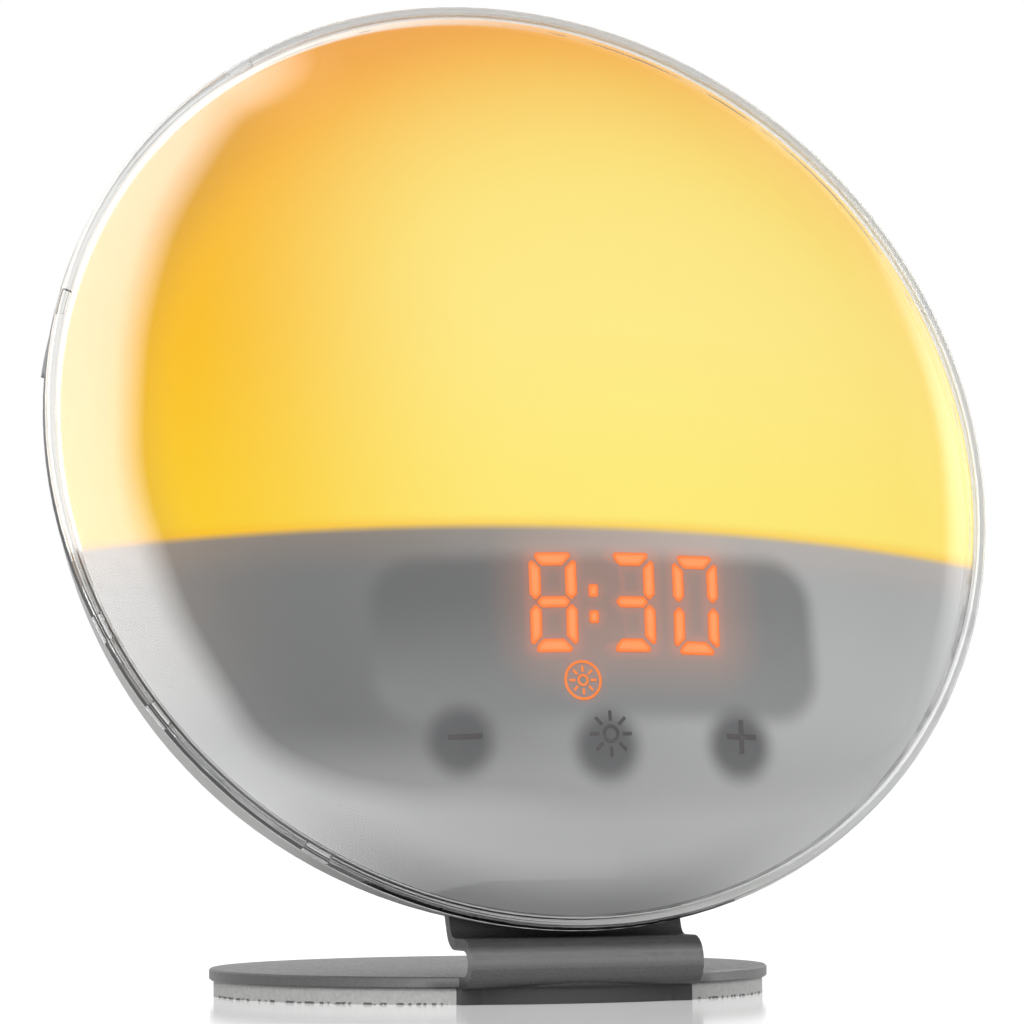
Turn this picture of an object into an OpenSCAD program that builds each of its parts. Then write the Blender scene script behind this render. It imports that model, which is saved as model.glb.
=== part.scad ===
/* [Head] */
// Outside diameter of the clear rim round the dome
rim_d = 178; // [170:1:186]
// Width of the clear rim outside the visible dome
rim_w = 1.9; // [1.4:0.1:2.6]
// Height of the rim's front face over the edge of the dome
rim_rise = 0.9; // [0.4:0.1:1.4]
// Depth of the rim behind the edge of the dome
rim_back = 2; // [1.5:0.1:2.8]
// Bulge of the dome over its edge
dome_h = 16.5; // [14:0.5:19]
// Wall of the clear dome
lens_wall = 1.8; // [1.4:0.1:2.4]
// Wall of the milky dome
diffuser_wall = 1.6; // [1.2:0.1:2]
// Air between the clear dome and the milky one
dome_gap = 0.4; // [0.3:0.1:0.8]
// Depth from the dome's edge to the seat of both skirts
seat_depth = 8; // [7:0.5:9]
// Wall of the skirts under the two domes
skirt_wall = 1.7; // [1.3:0.1:2]
// Open seam between the rim and the rear shell
seam = 0.5; // [0.3:0.1:0.8]

/* [Rear shell] */
// Depth from the dome's edge to the flat back
shell_depth = 44; // [42:0.5:50]
// Wall of the rear shell
shell_wall = 2.2; // [1.8:0.1:2.8]
// Radius of the flat part of the back
back_flat_r = 52; // [50:1:56]
// Step from the rim to the rear shell behind it
shell_step = 0.2; // [0:0.1:0.6]
// Thickness of the ledge that both domes seat on
ledge_t = 1.4; // [1:0.1:2]
// Diameter of one grille hole
grille_hole_d = 2; // [1.4:0.1:2.6]
// Spacing of the rings of grille holes
grille_pitch = 3.8; // [3.4:0.1:4.6]
// Number of hole rings in the grille
grille_rings = 5; // [3:1:5]
// Number of vent slots over the grille
vent_count = 4; // [2:1:5]
// Width of one vent slot
vent_w = 1.8; // [1.2:0.1:2.4]

/* [Light chamber] */
// Distance of the horizontal light divider from the rim's lowest point
divider_edge = 70; // [69.5:0.5:73]
// Wall of the two inner trays
tray_wall = 1.6; // [1.2:0.1:2]
// Depth from the dome's edge to the back of the trays
tray_depth = 17.2; // [16:0.2:18]
// Thickness of the circuit boards
board_t = 1.6; // [1:0.1:2]
// Side of one light emitter
emitter_w = 5; // [3:0.5:6]
// Height of one light emitter
emitter_h = 1.2; // [0.8:0.1:2]
// Spacing of the emitters
emitter_pitch = 17; // [13:1:20]

/* [Display] */
// Offset of the display and touch keys from the middle
panel_x = 5.5; // [4:0.5:5.5]
// Distance of the digits' middle from the rim's lowest point
digit_edge = 56.7; // [56.5:0.1:56.8]
// Height of one digit
digit_h = 17.8; // [14:0.2:18]
// Spacing of the two digits of a pair
digit_pitch = 11.9; // [11:0.1:13]
// Spacing of the two digits beside the colon
colon_pitch = 15.6; // [14:0.1:17]
// Width of one digit
digit_w = 9.2; // [8:0.1:10]
// Width of one bar of a digit
bar_w = 2.2; // [1.6:0.1:2.6]
// Spacing of the colon's two dots
colon_step = 4.8; // [4:0.2:6]
// Drop of the alarm sign under the digits' middle
icon_drop = 13.6; // [12.8:0.1:13.7]
// Distance of the alarm sign to the left of the display's middle
icon_left = 3.9; // [0:0.1:20]
// Diameter of the alarm sign
icon_d = 7; // [5:0.2:7]
// Slant of the display face, following the dome
display_slant = 8; // [5:0.5:10]
// Clearance between the dark shroud and the pillars beside it
shroud_clear = 0.4; // [0.4:0.1:2]
// Height of the dark shroud round the display
shroud_h = 30.2; // [29.8:0.2:30.4]
// Distance of the shroud's middle from the rim's lowest point
shroud_edge = 53; // [52.8:0.1:53.1]
// Distance of the touch keys from the rim's lowest point
touch_edge = 31.8; // [30:0.1:32]
// Spacing of the touch keys
touch_pitch = 26.2; // [20:0.2:28]
// Diameter of one touch pad
touch_d = 11.6; // [8:0.2:12]

/* [Stand] */
// Lean of the face from upright, in degrees
tilt = 20.6; // [16:0.2:22]
// Height of the rim's lowest point over the table
rim_lift = 13.5; // [13.5:0.1:14.7]
// Distance of the dome's centre in front of the base's centre
head_front = 20.8; // [20:0.1:22]
// Radius of the round base plate
base_r = 50.7; // [46:0.5:56]
// Thickness of the bent sheet
band_t = 2.1; // [1.6:0.1:2.4]
// Width of the bent sheet
band_w = 43.6; // [38:0.2:46]
// Thickness of the foot pad
pad_t = 2.9; // [2:0.1:2.9]
// Inset of the foot pad under the base plate
pad_inset = 0.8; // [0.3:0.1:1.5]
// Broken edge of the base plate
edge_break = 0.3; // [0.1:0.1:0.5]
// Distance from the base's centre to the front of the pad's tongue
pad_front = 46.6; // [45:0.2:48]
// Distance from the base's centre to the front of the roll
roll_front = 52.5; // [51:0.1:54]
// Outside radius of the roll
roll_r = 4.4; // [3.6:0.1:4.4]
// Inside radius of the bend from the roll to the neck
neck_bend_r = 2.2; // [1.4:0.1:2.4]

/* [Hinge] */
// Depth of the neck's front face behind the dome's edge
neck_depth = 10.2; // [10:0.1:11]
// Distance of the hinge pin from the rim's lowest point, along the face
hinge_edge = 15.5; // [14:0.5:17]
// Outside radius of the knuckles
knuckle_r = 3.6; // [3.2:0.1:4]
// Radius of the hinge pin
pin_r = 2; // [1.5:0.1:2.2]
// Radial clearance of the pin in the stand's knuckles
pin_clear = 0.05; // [0.02:0.01:0.1]
// Half width of the middle knuckle
mid_half = 5; // [4:0.5:7]
// Thickness of the bracket's sheet
bracket_t = 2; // [1.5:0.1:2.5]
// Thickness of one friction washer
washer_t = 0.8; // [0.6:0.1:1]
// Side clearance between knuckles
side_clear = 0.2; // [0.1:0.05:0.4]

/* [Keys] */
// Angle of the side keys over the horizontal, in degrees
side_key_angle = 18.7; // [12:0.1:26]
// Length of a side key
side_key_l = 14; // [10:0.5:16]
// Width of a side key
side_key_w = 4.6; // [3.6:0.1:5]
// Depth of a side key's middle behind the dome's edge
side_key_depth = 13.3; // [13.2:0.1:14]
// Height of a side key over the shell
side_key_rise = 1.3; // [0.8:0.1:1.6]
// Travel of a side key
side_key_travel = 0.5; // [0.3:0.05:0.5]
// Diameter of a rear key
rear_key_d = 9; // [7:0.5:10]
// Spacing of the rear keys
rear_key_pitch = 18; // [15:0.5:20]
// Drop of the rear keys under the centre
rear_key_drop = 16; // [15:0.5:17]
// Height of a rear key over the back
rear_key_rise = 1; // [0.6:0.1:1.6]
// Travel of a rear key
rear_key_travel = 0.7; // [0.4:0.05:0.7]
// Clearance round a key in its opening
key_clear = 0.25; // [0.15:0.05:0.4]

/* [Inside] */
// Distance of the main board's sides from the rim
main_side = 49; // [47:0.5:51]
// Height of the main board
main_h = 46; // [44:0.5:47]
// Drop of the main board's middle under the centre
main_drop = 35; // [34.5:0.5:36]
// Depth of the main board's front face behind the dome's edge
main_depth = 30; // [29:0.5:31]
// Radius of the speaker's flange
speaker_r = 26; // [24:0.5:27]
// Height of the speaker's middle over the centre
speaker_rise = 22; // [21.5:0.5:23]
// Distance of the case screws from the rim
screw_edge = 27; // [25:0.5:28]
// Angle of the case screws over the horizontal
screw_angle = 35; // [33:1:38]
// Radius of a case screw
screw_r = 1.5; // [1.2:0.1:1.7]
// Diameter of the coin cell
cell_d = 20; // [16:0.5:20]
// Thickness of the coin cell
cell_t = 3.2; // [2:0.1:3.2]
// Drop of the coin cell under the centre
cell_drop = 40; // [39.5:0.5:41]
// Length of the cell cover
cover_l = 32; // [30:0.5:34]
// Width of the cell cover
cover_w = 23; // [22:0.5:24]
// Thickness of the cell cover
cover_t = 1.2; // [1:0.1:1.4]
// Sideways place of the power inlet
inlet_x = 28; // [27.5:0.5:30]
// Drop of the power inlet under the centre
inlet_drop = 41; // [40:0.5:42]
// Radius of the power inlet's bore
inlet_r = 2.75; // [2.2:0.05:3.2]

/* [Hidden] */
$fn = 96;
eps = 0.01;
far = 60;

// The two domes: spheres on one centre line through the visible edge
rim_r = rim_d / 2;
head_z = rim_lift + rim_r * cos(tilt);
hinge_drop = rim_r - hinge_edge;
screw_ring_r = rim_r - screw_edge;
divider_drop = rim_r - divider_edge;
digit_drop = rim_r - digit_edge;
shroud_drop = rim_r - shroud_edge;
touch_drop = rim_r - touch_edge;
main_w = 2 * (rim_r - main_side);
dome_r = rim_r - rim_w;
dome_ball = (dome_r * dome_r + dome_h * dome_h) / (2 * dome_h);
ball_z = dome_h - dome_ball;
lens_in_ball = dome_ball - lens_wall;
diff_ball = lens_in_ball - dome_gap;
diff_in_ball = diff_ball - diffuser_wall;
arc_steps = 20;
function ball_n(ball, r) = ball_z + sqrt(ball * ball - r * r);
function arc_pts(ball, r0, r1, steps) =
  [for (i = [0 : steps]) let (r = r0 + (r1 - r0) * i / steps) [r, ball_n(ball, r)]];

// Skirts, seats and the snap groove behind the rim
skirt_fit = 0.2;
tab_h = 0.8;
tab_fit = 0.2;
tab_depth = 5.7;
tab_half = 0.7;
tab_arc = 8;
tab_angles = [20, 60, 120, 160, 201, 213, 237, 303, 327, 339];
bore_r = rim_r - shell_step - 3.8;
skirt_r = bore_r - skirt_fit;
skirt_in_r = skirt_r - skirt_wall;
ledge_r = skirt_in_r - 3.2;
tray_r = skirt_in_r - 3.5;

// The milky dome ends in a flange, which the clear dome's rim lies on
lip_r = dome_r;
flange_r = lip_r - skirt_fit;
flange_z = -rim_back;
flange_low = flange_z - diffuser_wall;
flange_free_r = sqrt(diff_ball * diff_ball - pow(flange_z - ball_z, 2));
flange_in_r = min(flange_free_r, flange_r - 0.5);
recess_z = flange_low - skirt_fit;

// Pegs on the shell's lip, which keep the clear dome from turning
peg_r = (lip_r + rim_r - shell_step) / 2;
peg_half = 0.35;
peg_rise = 0.8;
peg_arc = 3;
peg_fit = 0.15;

// Outline of the rear shell: a curve from the rim to the flat back
shell_r = rim_r - shell_step;
mouth_z = -(rim_back + seam);
shell_steps = 26;
shell_pull_in = 6.8;
shell_pull_back = 17.5;
back_pull_out = 23;
shell_curve = [
  [shell_r, mouth_z],
  [shell_r - shell_pull_in, mouth_z - shell_pull_back],
  [back_flat_r + back_pull_out, -shell_depth],
  [back_flat_r, -shell_depth]
];
function curve_pt(c, t) = pow(1 - t, 3) * c[0] + 3 * pow(1 - t, 2) * t * c[1]
  + 3 * (1 - t) * t * t * c[2] + pow(t, 3) * c[3];
function curve_dir(c, t) = 3 * pow(1 - t, 2) * (c[1] - c[0]) + 6 * (1 - t) * t * (c[2] - c[1])
  + 3 * t * t * (c[3] - c[2]);
function shell_pt(t, inset) =
  let (p = curve_pt(shell_curve, t), d = curve_dir(shell_curve, t))
  p + inset * [d[1], -d[0]] / norm(d);
function shell_line(inset) = [for (i = [0 : shell_steps]) shell_pt(i / shell_steps, inset)];
ledge_z = -seat_depth;
ledge_low = ledge_z - ledge_t;
back_in_z = -shell_depth + shell_wall;
side_key_t = 0.18;

// Trays and boards
tray_z = -tray_depth;
tray_top_z = tray_z + tray_wall;
tray_fit = 0.3;
tray_gap = 0.2;
notch_half = band_w / 2 + 5;
notch_drop = hinge_drop - 7.5;
board_z = tray_top_z;
board_top_z = board_z + board_t;
led_board_r = tray_r - tray_wall - 6;
panel_fit = 0.6;

// Hinge: the pin lies behind the neck's front face by one knuckle radius
pin_z = -(neck_depth + knuckle_r);
slot_front_z = -(neck_depth - 0.8);
slot_back_z = pin_z - 3;
slot_half = band_w / 2 + 0.8;
slot_top = hinge_drop + 1.5;
ear_in = band_w / 2 + side_clear + washer_t;
bracket_z = pin_z - knuckle_r - 3;
boss_xs = [-17, 17];
boss_drops = [hinge_drop - 10, hinge_drop - 3.6];
bracket_low = 0.5;
bracket_head_r = 2.2;
bracket_head_h = 1;
bracket_screw_l = 4.5;
boss_r = 3;

// Stand outline, seen from its side as [y, z]
head_y = -head_front;
face_up = [sin(tilt), cos(tilt)];
face_out = [-cos(tilt), sin(tilt)];
function side_pt(n, v) = [head_y, head_z] + n * face_out + v * face_up;
roll_c = [-(roll_front - roll_r), pad_t + roll_r];
roll_top = pad_t + 2 * roll_r;
neck_0 = side_pt(-neck_depth, 0);
bend_s = (roll_top + neck_bend_r - neck_0[1] - neck_bend_r * face_out[1]) / face_up[1];
bend_c = neck_0 + bend_s * face_up + neck_bend_r * face_out;
band_steps = 16;
function arc2(c, r, a0, a1, steps) =
  [for (i = [0 : steps]) let (a = a0 + (a1 - a0) * i / steps) c + r * [cos(a), sin(a)]];
tongue_y = -base_r / 2;
band_front = concat(
  [[tongue_y, pad_t]],
  arc2(roll_c, roll_r, 270, 90, band_steps),
  arc2(bend_c, neck_bend_r, -90, -tilt, band_steps / 2),
  [side_pt(-neck_depth, -hinge_drop)]
);
band_back = concat(
  [[tongue_y, pad_t + band_t]],
  arc2(roll_c, roll_r - band_t, 270, 90, band_steps),
  arc2(bend_c, neck_bend_r + band_t, -90, -tilt, band_steps / 2),
  [side_pt(-neck_depth - band_t, -hinge_drop)]
);
function flip(p) = [for (i = [len(p) - 1 : -1 : 0]) p[i]];

// Display: the face lies just under the milky dome and slants with it
face_gap = 3;
display_z = ball_n(diff_in_ball, digit_drop) - face_gap;
module_w = 2 * digit_pitch + colon_pitch + digit_w + 6;
module_margin = 1.2;
module_top = digit_drop - digit_h / 2 - module_margin;
module_low = digit_drop + icon_drop + icon_d / 2 + 0.1;
bar_h = 0.4;
bar_gap = 0.3;
icon_line = 0.45;
icon_sun_r = 1.05;
icon_ray_in = 1.5;
icon_ray_out = 2.5;
digit_xs = [
  -colon_pitch / 2 - digit_pitch, -colon_pitch / 2, colon_pitch / 2,
  colon_pitch / 2 + digit_pitch
];

// Rear side
main_z = -main_depth;
main_back_z = main_z - board_t;
post_xs = [-main_w / 2 + 4, main_w / 2 - 4];
post_drops = [main_drop - main_h / 2 + 4, main_drop + main_h / 2 - 4];
post_r = 3;
switch_h = 3.5;
switch_w = 6;
plunger_h = 1;
rear_key_xs = [-rear_key_pitch, 0, rear_key_pitch];
cover_z = -shell_depth;
cover_mid_x = 4;
cover_screw_x = 14.5;
cover_fit = 0.3;
cell_z = main_back_z - 0.8;
inlet_w = 10;
inlet_wall = 1.2;
inlet_pin_r = 0.65;
screw_pts = [
  for (a = [screw_angle, 180 - screw_angle, 180 + screw_angle, 360 - screw_angle])
  screw_ring_r * [cos(a), sin(a)]
];
well_r = 4.6;
well_in_r = 3.3;
well_floor_z = -22;
pillar_r = 3.5;
pillar_h = 8;
shroud_w = 2 * (screw_pts[0][0] - pillar_r - shroud_clear - panel_x);

// Ribbons, plugs, pads, keys and speaker parts
// The side key's middle lies where the shell's curve passes its depth
side_skin_r = shell_pt(side_key_t, 0)[0] + (shell_pt(side_key_t, 0)[1] + side_key_depth) * 0.36;
side_seat_r = side_skin_r - 2.7;
side_flange_t = 0.8;
side_seat_gap = 0.05;
ribbon_w = 12;
ribbon_t = 0.5;
plug_w = 14;
plug_h = 4;
ribbon_slot_w = plug_w + 1;
ribbon_slot_h = plug_h + 1;
panel_plug_x = 0;
panel_plug_down = 11;
panel_plug_drop = divider_drop + panel_plug_down;
plug_depth = 2;
panel_side = 41;
panel_board_top = divider_drop + tray_wall / 2 + tray_gap + 1;
panel_board_low = notch_drop - tray_wall - 0.6;
panel_half = rim_r - panel_side;
shroud_wall = 1;
touch_stem_d = 4;
touch_t = 1.4;
touch_fit = 0.1;
plug_tall = 4;
led_plug_up = 8;
led_plug_drop = main_drop - main_h / 2 + plug_h / 2;
led_board_up = 4.5;
emitter_up = 17;
gasket_t = 1;
frame_h = 8;
magnet_r = 14;
side_board_r = tray_r + 0.1;
side_board_t = 0.6;
side_dome_h = 0.4;
cover_bore_r = 1.1;
cover_screw_r = 0.95;
chip_x = 18;
chip_w = 12;
chip_legs = 3;
chip_pitch = 1.6;
chip_leg_w = 0.5;
chip_leg_l = 1.2;
chip_lift = 0.2;
chip_drop = 8;
caps_drop = 6;
cap_x = 7;
cap_r = 4;
cap_h = 9;
coil_drop = 10;
coil_size = [9, 7, 5];
lead_x = 10;
lead_gap = 1.5;
lead_t = 1;

// Places its children in the head's frame: x across, y up the face, z out of it
module in_head() {
  translate([0, head_y, head_z])
  rotate([90 - tilt, 0, 0])
  children();
}

// A box centred on x and y that starts at z
module block(w, h, t) {
  translate([-w / 2, -h / 2, 0])
  cube([w, h, t]);
}

// A plate with round corners that starts at z
module rounded(w, h, t, r) {
  hw = w / 2 - r;
  hh = h / 2 - r;
  union() {
    block(w - 2 * r, h, t);
    block(w, h - 2 * r, t);
    for (x = [-hw, hw], y = [-hh, hh]) {
      translate([x, y, 0])
      cylinder(r = r, h = t, $fn = 48);
    }
  }
}

// Everything under a sphere of the dome's centre, out to radius r
module under_ball(ball, r, low) {
  rotate_extrude($fn = 180)
  polygon(concat([[0, low], [r, low]], flip(arc_pts(ball, 0, r, arc_steps))));
}

// The full volume inside the rear shell's outline
module shell_volume(inset) {
  rotate_extrude($fn = 180)
  polygon(concat(shell_line(inset), [[0, -shell_depth + inset], [0, mouth_z]]));
}

// A bar along x, for pins and bores in the head's frame
module cross_bar(r, x0, x1) {
  translate([x0, -hinge_drop, pin_z])
  rotate([0, 90, 0])
  cylinder(r = r, h = x1 - x0, $fn = 64);
}

// A slot with round ends, long side along x
module stadium(l, w, t) {
  union() {
    block(l - w, w, t);
    for (x = [-(l - w) / 2, (l - w) / 2]) {
      translate([x, 0, 0])
      cylinder(r = w / 2, h = t, $fn = 48);
    }
  }
}

// Places its children at a side key: z points out of the shell, x runs along the rim
module at_side_key(side) {
  in_head()
  rotate([0, 0, side < 0 ? 180 - side_key_angle : side_key_angle])
  translate([0, 0, -side_key_depth])
  rotate([90, 0, 90])
  children();
}

module stand_band() {
  color([0.42, 0.42, 0.42])
  difference() {
    union() {
      translate([0, 0, pad_t])
      rotate_extrude($fn = 180)
      polygon([[0, 0], [base_r - edge_break, 0], [base_r, edge_break],
        [base_r, band_t - edge_break], [base_r - edge_break, band_t], [0, band_t]]);
      translate([-band_w / 2, 0, 0])
      rotate([90, 0, 90])
      linear_extrude(band_w)
      polygon(concat(band_front, flip(band_back)));
      in_head()
      cross_bar(knuckle_r, -band_w / 2, band_w / 2);
    }
    in_head() {
      cross_bar(pin_r + pin_clear, -far, far);
      translate([0, -hinge_drop, pin_z - 2 * knuckle_r])
      block(2 * (mid_half + side_clear), 2 * knuckle_r + 5, 4 * knuckle_r);
    }
  }
}

module foot_pad() {
  color([0.72, 0.72, 0.7])
  union() {
    cylinder(r = base_r - pad_inset, h = pad_t, $fn = 180);
    translate([-band_w / 2, -pad_front, 0])
    cube([band_w, pad_front - base_r / 2, pad_t]);
  }
}

module grille_holes() {
  for (i = [0 : grille_rings]) {
    count = i == 0 ? 1 : 6 * i;
    for (k = [0 : count - 1]) {
      rotate([0, 0, 360 * k / count])
      translate([i * grille_pitch, 0, -shell_depth - 1])
      cylinder(d = grille_hole_d, h = shell_wall + 2, $fn = 24);
    }
  }
}

module rear_shell() {
  color([0.78, 0.78, 0.77])
  difference() {
    union() {
      difference() {
        shell_volume(0);
        rotate_extrude($fn = 180)
        polygon(concat(
          [[0, mouth_z + 1], [lip_r, mouth_z + 1], [lip_r, recess_z], [bore_r, recess_z],
            [bore_r, ledge_z], [ledge_r, ledge_z], [ledge_r, ledge_low]],
          [for (p = shell_line(shell_wall)) if (p[1] < ledge_low - 0.6) p],
          [[0, back_in_z]]
        ));
        rotate_extrude($fn = 180)
        translate([bore_r - 1, -tab_depth - tab_half - tab_fit])
        square([1 + tab_h + tab_fit, 2 * (tab_half + tab_fit)]);
      }
      intersection() {
        union() {
          for (p = screw_pts) {
            translate([p[0], p[1], -shell_depth])
            cylinder(r = well_r, h = shell_depth + tray_z);
          }
          for (x = post_xs, d = post_drops) {
            translate([x, -d, -shell_depth])
            cylinder(r = post_r, h = shell_depth + main_back_z);
          }
          for (x = boss_xs, d = boss_drops) {
            translate([x, -d, -shell_depth])
            cylinder(r = boss_r, h = shell_depth + bracket_z);
          }
          translate([0, speaker_rise, -shell_depth])
          difference() {
            cylinder(r = speaker_r + 1.6, h = shell_wall + 2);
            cylinder(r = speaker_r + 0.3, h = shell_wall + 5);
          }
          translate([cover_screw_x, -cell_drop, -shell_depth])
          cylinder(r = 2.6, h = shell_wall + 4);
        }
        shell_volume(eps);
      }
      intersection() {
        in_plane_of_keys();
        shell_volume(eps);
      }
      for (a = tab_angles) {
        peg(a, peg_half, peg_arc, mouth_z - 1, mouth_z + seam + peg_rise);
      }
    }
    // Snap, neck, speaker, vents, keys, ports, cell and screws
    translate([-slot_half, -rim_r - 5, slot_back_z])
    cube([2 * slot_half, rim_r + 5 - slot_top, slot_front_z - slot_back_z]);
    translate([0, speaker_rise, 0])
    grille_holes();
    for (i = [0 : vent_count - 1]) {
      translate([0, speaker_rise + speaker_r + 8 + i * 2.4 * vent_w, -shell_depth - 1])
      stadium(34 - 4 * i, vent_w, shell_depth + tray_z);
    }
    for (s = [-1, 1]) {
      rotate([0, 0, s < 0 ? 180 - side_key_angle : side_key_angle])
      translate([0, 0, -side_key_depth])
      rotate([90, 0, 90]) {
        translate([0, 0, side_seat_r - 1])
        stadium(side_key_l + 2 * key_clear, side_key_w + 2 * key_clear, 20);
        translate([0, 0, side_seat_r - 4])
        block(side_key_l + 5, side_key_w + 1.9, 4);
      }
    }
    for (x = rear_key_xs) {
      translate([x, -rear_key_drop, -shell_depth - 1])
      cylinder(d = rear_key_d + 2 * key_clear, h = shell_wall + 2);
    }
    translate([-inlet_x, -inlet_drop, -shell_depth - 1]) {
      cylinder(r = inlet_r + 1, h = shell_wall + 2);
      translate([0, 0, 1 + shell_wall])
      block(inlet_w + 0.2, inlet_w + 0.2, inlet_w);
    }
    translate([cover_mid_x, -cell_drop, -shell_depth - 1])
    rounded(cover_l + 2 * cover_fit, cover_w + 2 * cover_fit, 1 + cover_t, 3);
    translate([0, -cell_drop, -shell_depth - 1])
    cylinder(d = cell_d + 1.4, h = shell_wall + 2);
    translate([cover_screw_x, -cell_drop, -shell_depth - 1])
    cylinder(r = cover_bore_r, h = 1 + shell_wall + 3.4, $fn = 32);
    for (p = screw_pts) {
      translate([p[0], p[1], -shell_depth - 1]) {
        cylinder(r = well_in_r, h = 1 + shell_depth + well_floor_z);
        cylinder(r = screw_r + 0.2, h = far);
      }
    }
    for (x = post_xs, d = post_drops) {
      translate([x, -d, main_back_z - 5])
      cylinder(r = screw_r - 0.25, h = far, $fn = 32);
    }
    for (x = boss_xs, d = boss_drops) {
      translate([x, -d, bracket_z - 3])
      cylinder(r = screw_r - 0.25, h = far, $fn = 32);
    }
  }
}

// Blocks inside the shell that give the side keys a flat seat
module in_plane_of_keys() {
  for (a = [side_key_angle, 180 - side_key_angle]) {
    rotate([0, 0, a])
    translate([0, 0, -side_key_depth])
    rotate([90, 0, 90])
    translate([0, 0, side_seat_r])
    block(side_key_l + 9, side_key_w + 3.4, rim_r - side_seat_r);
  }
}

// A short curved block on the rim's circle, for the pegs and their pockets
module peg(angle, half, arc, low, high) {
  rotate([0, 0, angle - arc / 2])
  rotate_extrude(angle = arc, $fn = 180)
  translate([peg_r - half, low])
  square([2 * half, high - low]);
}

module front_lens() {
  color([0.93, 0.94, 0.94, 0.4])
  in_head()
  difference() {
    rotate_extrude($fn = 180)
    polygon(concat(
      arc_pts(dome_ball, 0, dome_r, arc_steps),
      [[dome_r + 0.25, rim_rise * 0.7], [dome_r + 0.6, rim_rise], [rim_r - 0.5, rim_rise],
        [rim_r - 0.15, rim_rise - 0.15], [rim_r, rim_rise - 0.5], [rim_r, -rim_back + 0.3],
        [rim_r - 0.3, -rim_back], [flange_in_r, -rim_back]],
      arc_pts(lens_in_ball, flange_in_r, 0, arc_steps)
    ));
    for (a = tab_angles) {
      peg(a, peg_half + peg_fit, peg_arc + 0.4, -rim_back - 1, -rim_back + peg_rise + peg_fit);
    }
  }
}

module diffuser() {
  color([0.95, 0.9, 0.8])
  in_head()
  union() {
    rotate_extrude($fn = 180)
    polygon(concat(
      arc_pts(diff_ball, 0, flange_in_r, arc_steps),
      flange_in_r < flange_free_r ? [[flange_in_r, flange_z]] : [],
      [[flange_r, flange_z], [flange_r, flange_low], [skirt_r, flange_low], [skirt_r, ledge_z],
        [skirt_in_r, ledge_z]],
      arc_pts(diff_in_ball, skirt_in_r, 0, arc_steps)
    ));
    for (a = tab_angles) {
      rotate([0, 0, a - tab_arc / 2])
      rotate_extrude(angle = tab_arc, $fn = 180)
      polygon([[skirt_r - 0.4, -tab_depth - tab_half], [skirt_r, -tab_depth - tab_half],
        [skirt_r + tab_h, -tab_depth - tab_half / 3], [skirt_r + tab_h, -tab_depth + tab_half],
        [skirt_r - 0.4, -tab_depth + tab_half]]);
    }
  }
}

// The part of the head's round interior over or under the divider
module half_round(r, upper, low, high) {
  edge = upper ? -divider_drop - tray_wall / 2 : -divider_drop - tray_wall / 2 - tray_gap;
  intersection() {
    translate([0, 0, low])
    cylinder(r = r, h = high - low, $fn = 180);
    translate([-2 * rim_r, upper ? edge : edge - 2 * rim_r, low - 1])
    cube([4 * rim_r, 2 * rim_r, high - low + 2]);
  }
}

module light_tray() {
  color([0.96, 0.96, 0.94])
  in_head()
  difference() {
    intersection() {
      union() {
        difference() {
          half_round(tray_r, true, tray_z, dome_h);
          translate([0, 0, tray_top_z])
          cylinder(r = tray_r - tray_wall, h = far, $fn = 180);
        }
        translate([-tray_r, -divider_drop - tray_wall / 2, tray_z])
        cube([2 * tray_r, tray_wall, far]);
        for (i = [0, 1]) {
          translate([screw_pts[i][0], screw_pts[i][1], tray_z])
          cylinder(r = pillar_r, h = tray_wall + pillar_h);
        }
      }
      under_ball(diff_in_ball - tray_fit, tray_r, tray_z);
    }
    for (i = [0, 1]) {
      translate([screw_pts[i][0], screw_pts[i][1], tray_z - 1])
      cylinder(r = screw_r, h = pillar_h, $fn = 32);
    }
    translate([0, -divider_drop + led_plug_up, tray_z - 1])
    block(ribbon_slot_w, ribbon_slot_h, far);
  }
}

module panel_tray() {
  color([0.85, 0.85, 0.84])
  in_head()
  difference() {
    intersection() {
      union() {
        difference() {
          half_round(tray_r, false, tray_z, dome_h);
          translate([0, 0, tray_top_z])
          cylinder(r = tray_r - tray_wall, h = far, $fn = 180);
        }
        translate([-notch_half - tray_wall, -tray_r, tray_z])
        cube([2 * (notch_half + tray_wall), tray_r - notch_drop + tray_wall, far]);
        for (i = [2, 3]) {
          translate([screw_pts[i][0], screw_pts[i][1], tray_z])
          cylinder(r = pillar_r, h = tray_wall + pillar_h);
        }
      }
      under_ball(diff_in_ball - tray_fit, tray_r, tray_z);
    }
    translate([-notch_half, -tray_r - 1, tray_z - 1])
    cube([2 * notch_half, tray_r + 1 - notch_drop, far]);
    for (i = [2, 3]) {
      translate([screw_pts[i][0], screw_pts[i][1], tray_z - 1])
      cylinder(r = screw_r, h = pillar_h, $fn = 32);
    }
    translate([panel_plug_x, -panel_plug_drop, tray_z - 1])
    block(ribbon_slot_w, ribbon_slot_h, 1 + tray_wall + 1);
  }
}

module led_board() {
  color([0.92, 0.93, 0.9])
  in_head() {
    intersection() {
      translate([0, 0, board_z])
      cylinder(r = led_board_r, h = board_t, $fn = 120);
      translate([-far * 2, -divider_drop + led_board_up, board_z])
      cube([far * 4, far * 4, board_t]);
      difference() {
        translate([0, 0, board_z - 1])
        cylinder(r = rim_r, h = board_t + 2);
        for (i = [0, 1]) {
          translate([screw_pts[i][0], screw_pts[i][1], board_z - 1])
          cylinder(r = pillar_r + 0.4, h = board_t + 2);
        }
      }
    }
    translate([0, -divider_drop + led_plug_up, tray_z - plug_depth])
    block(plug_w, plug_h, board_z - tray_z + plug_depth);
  }
}

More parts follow.
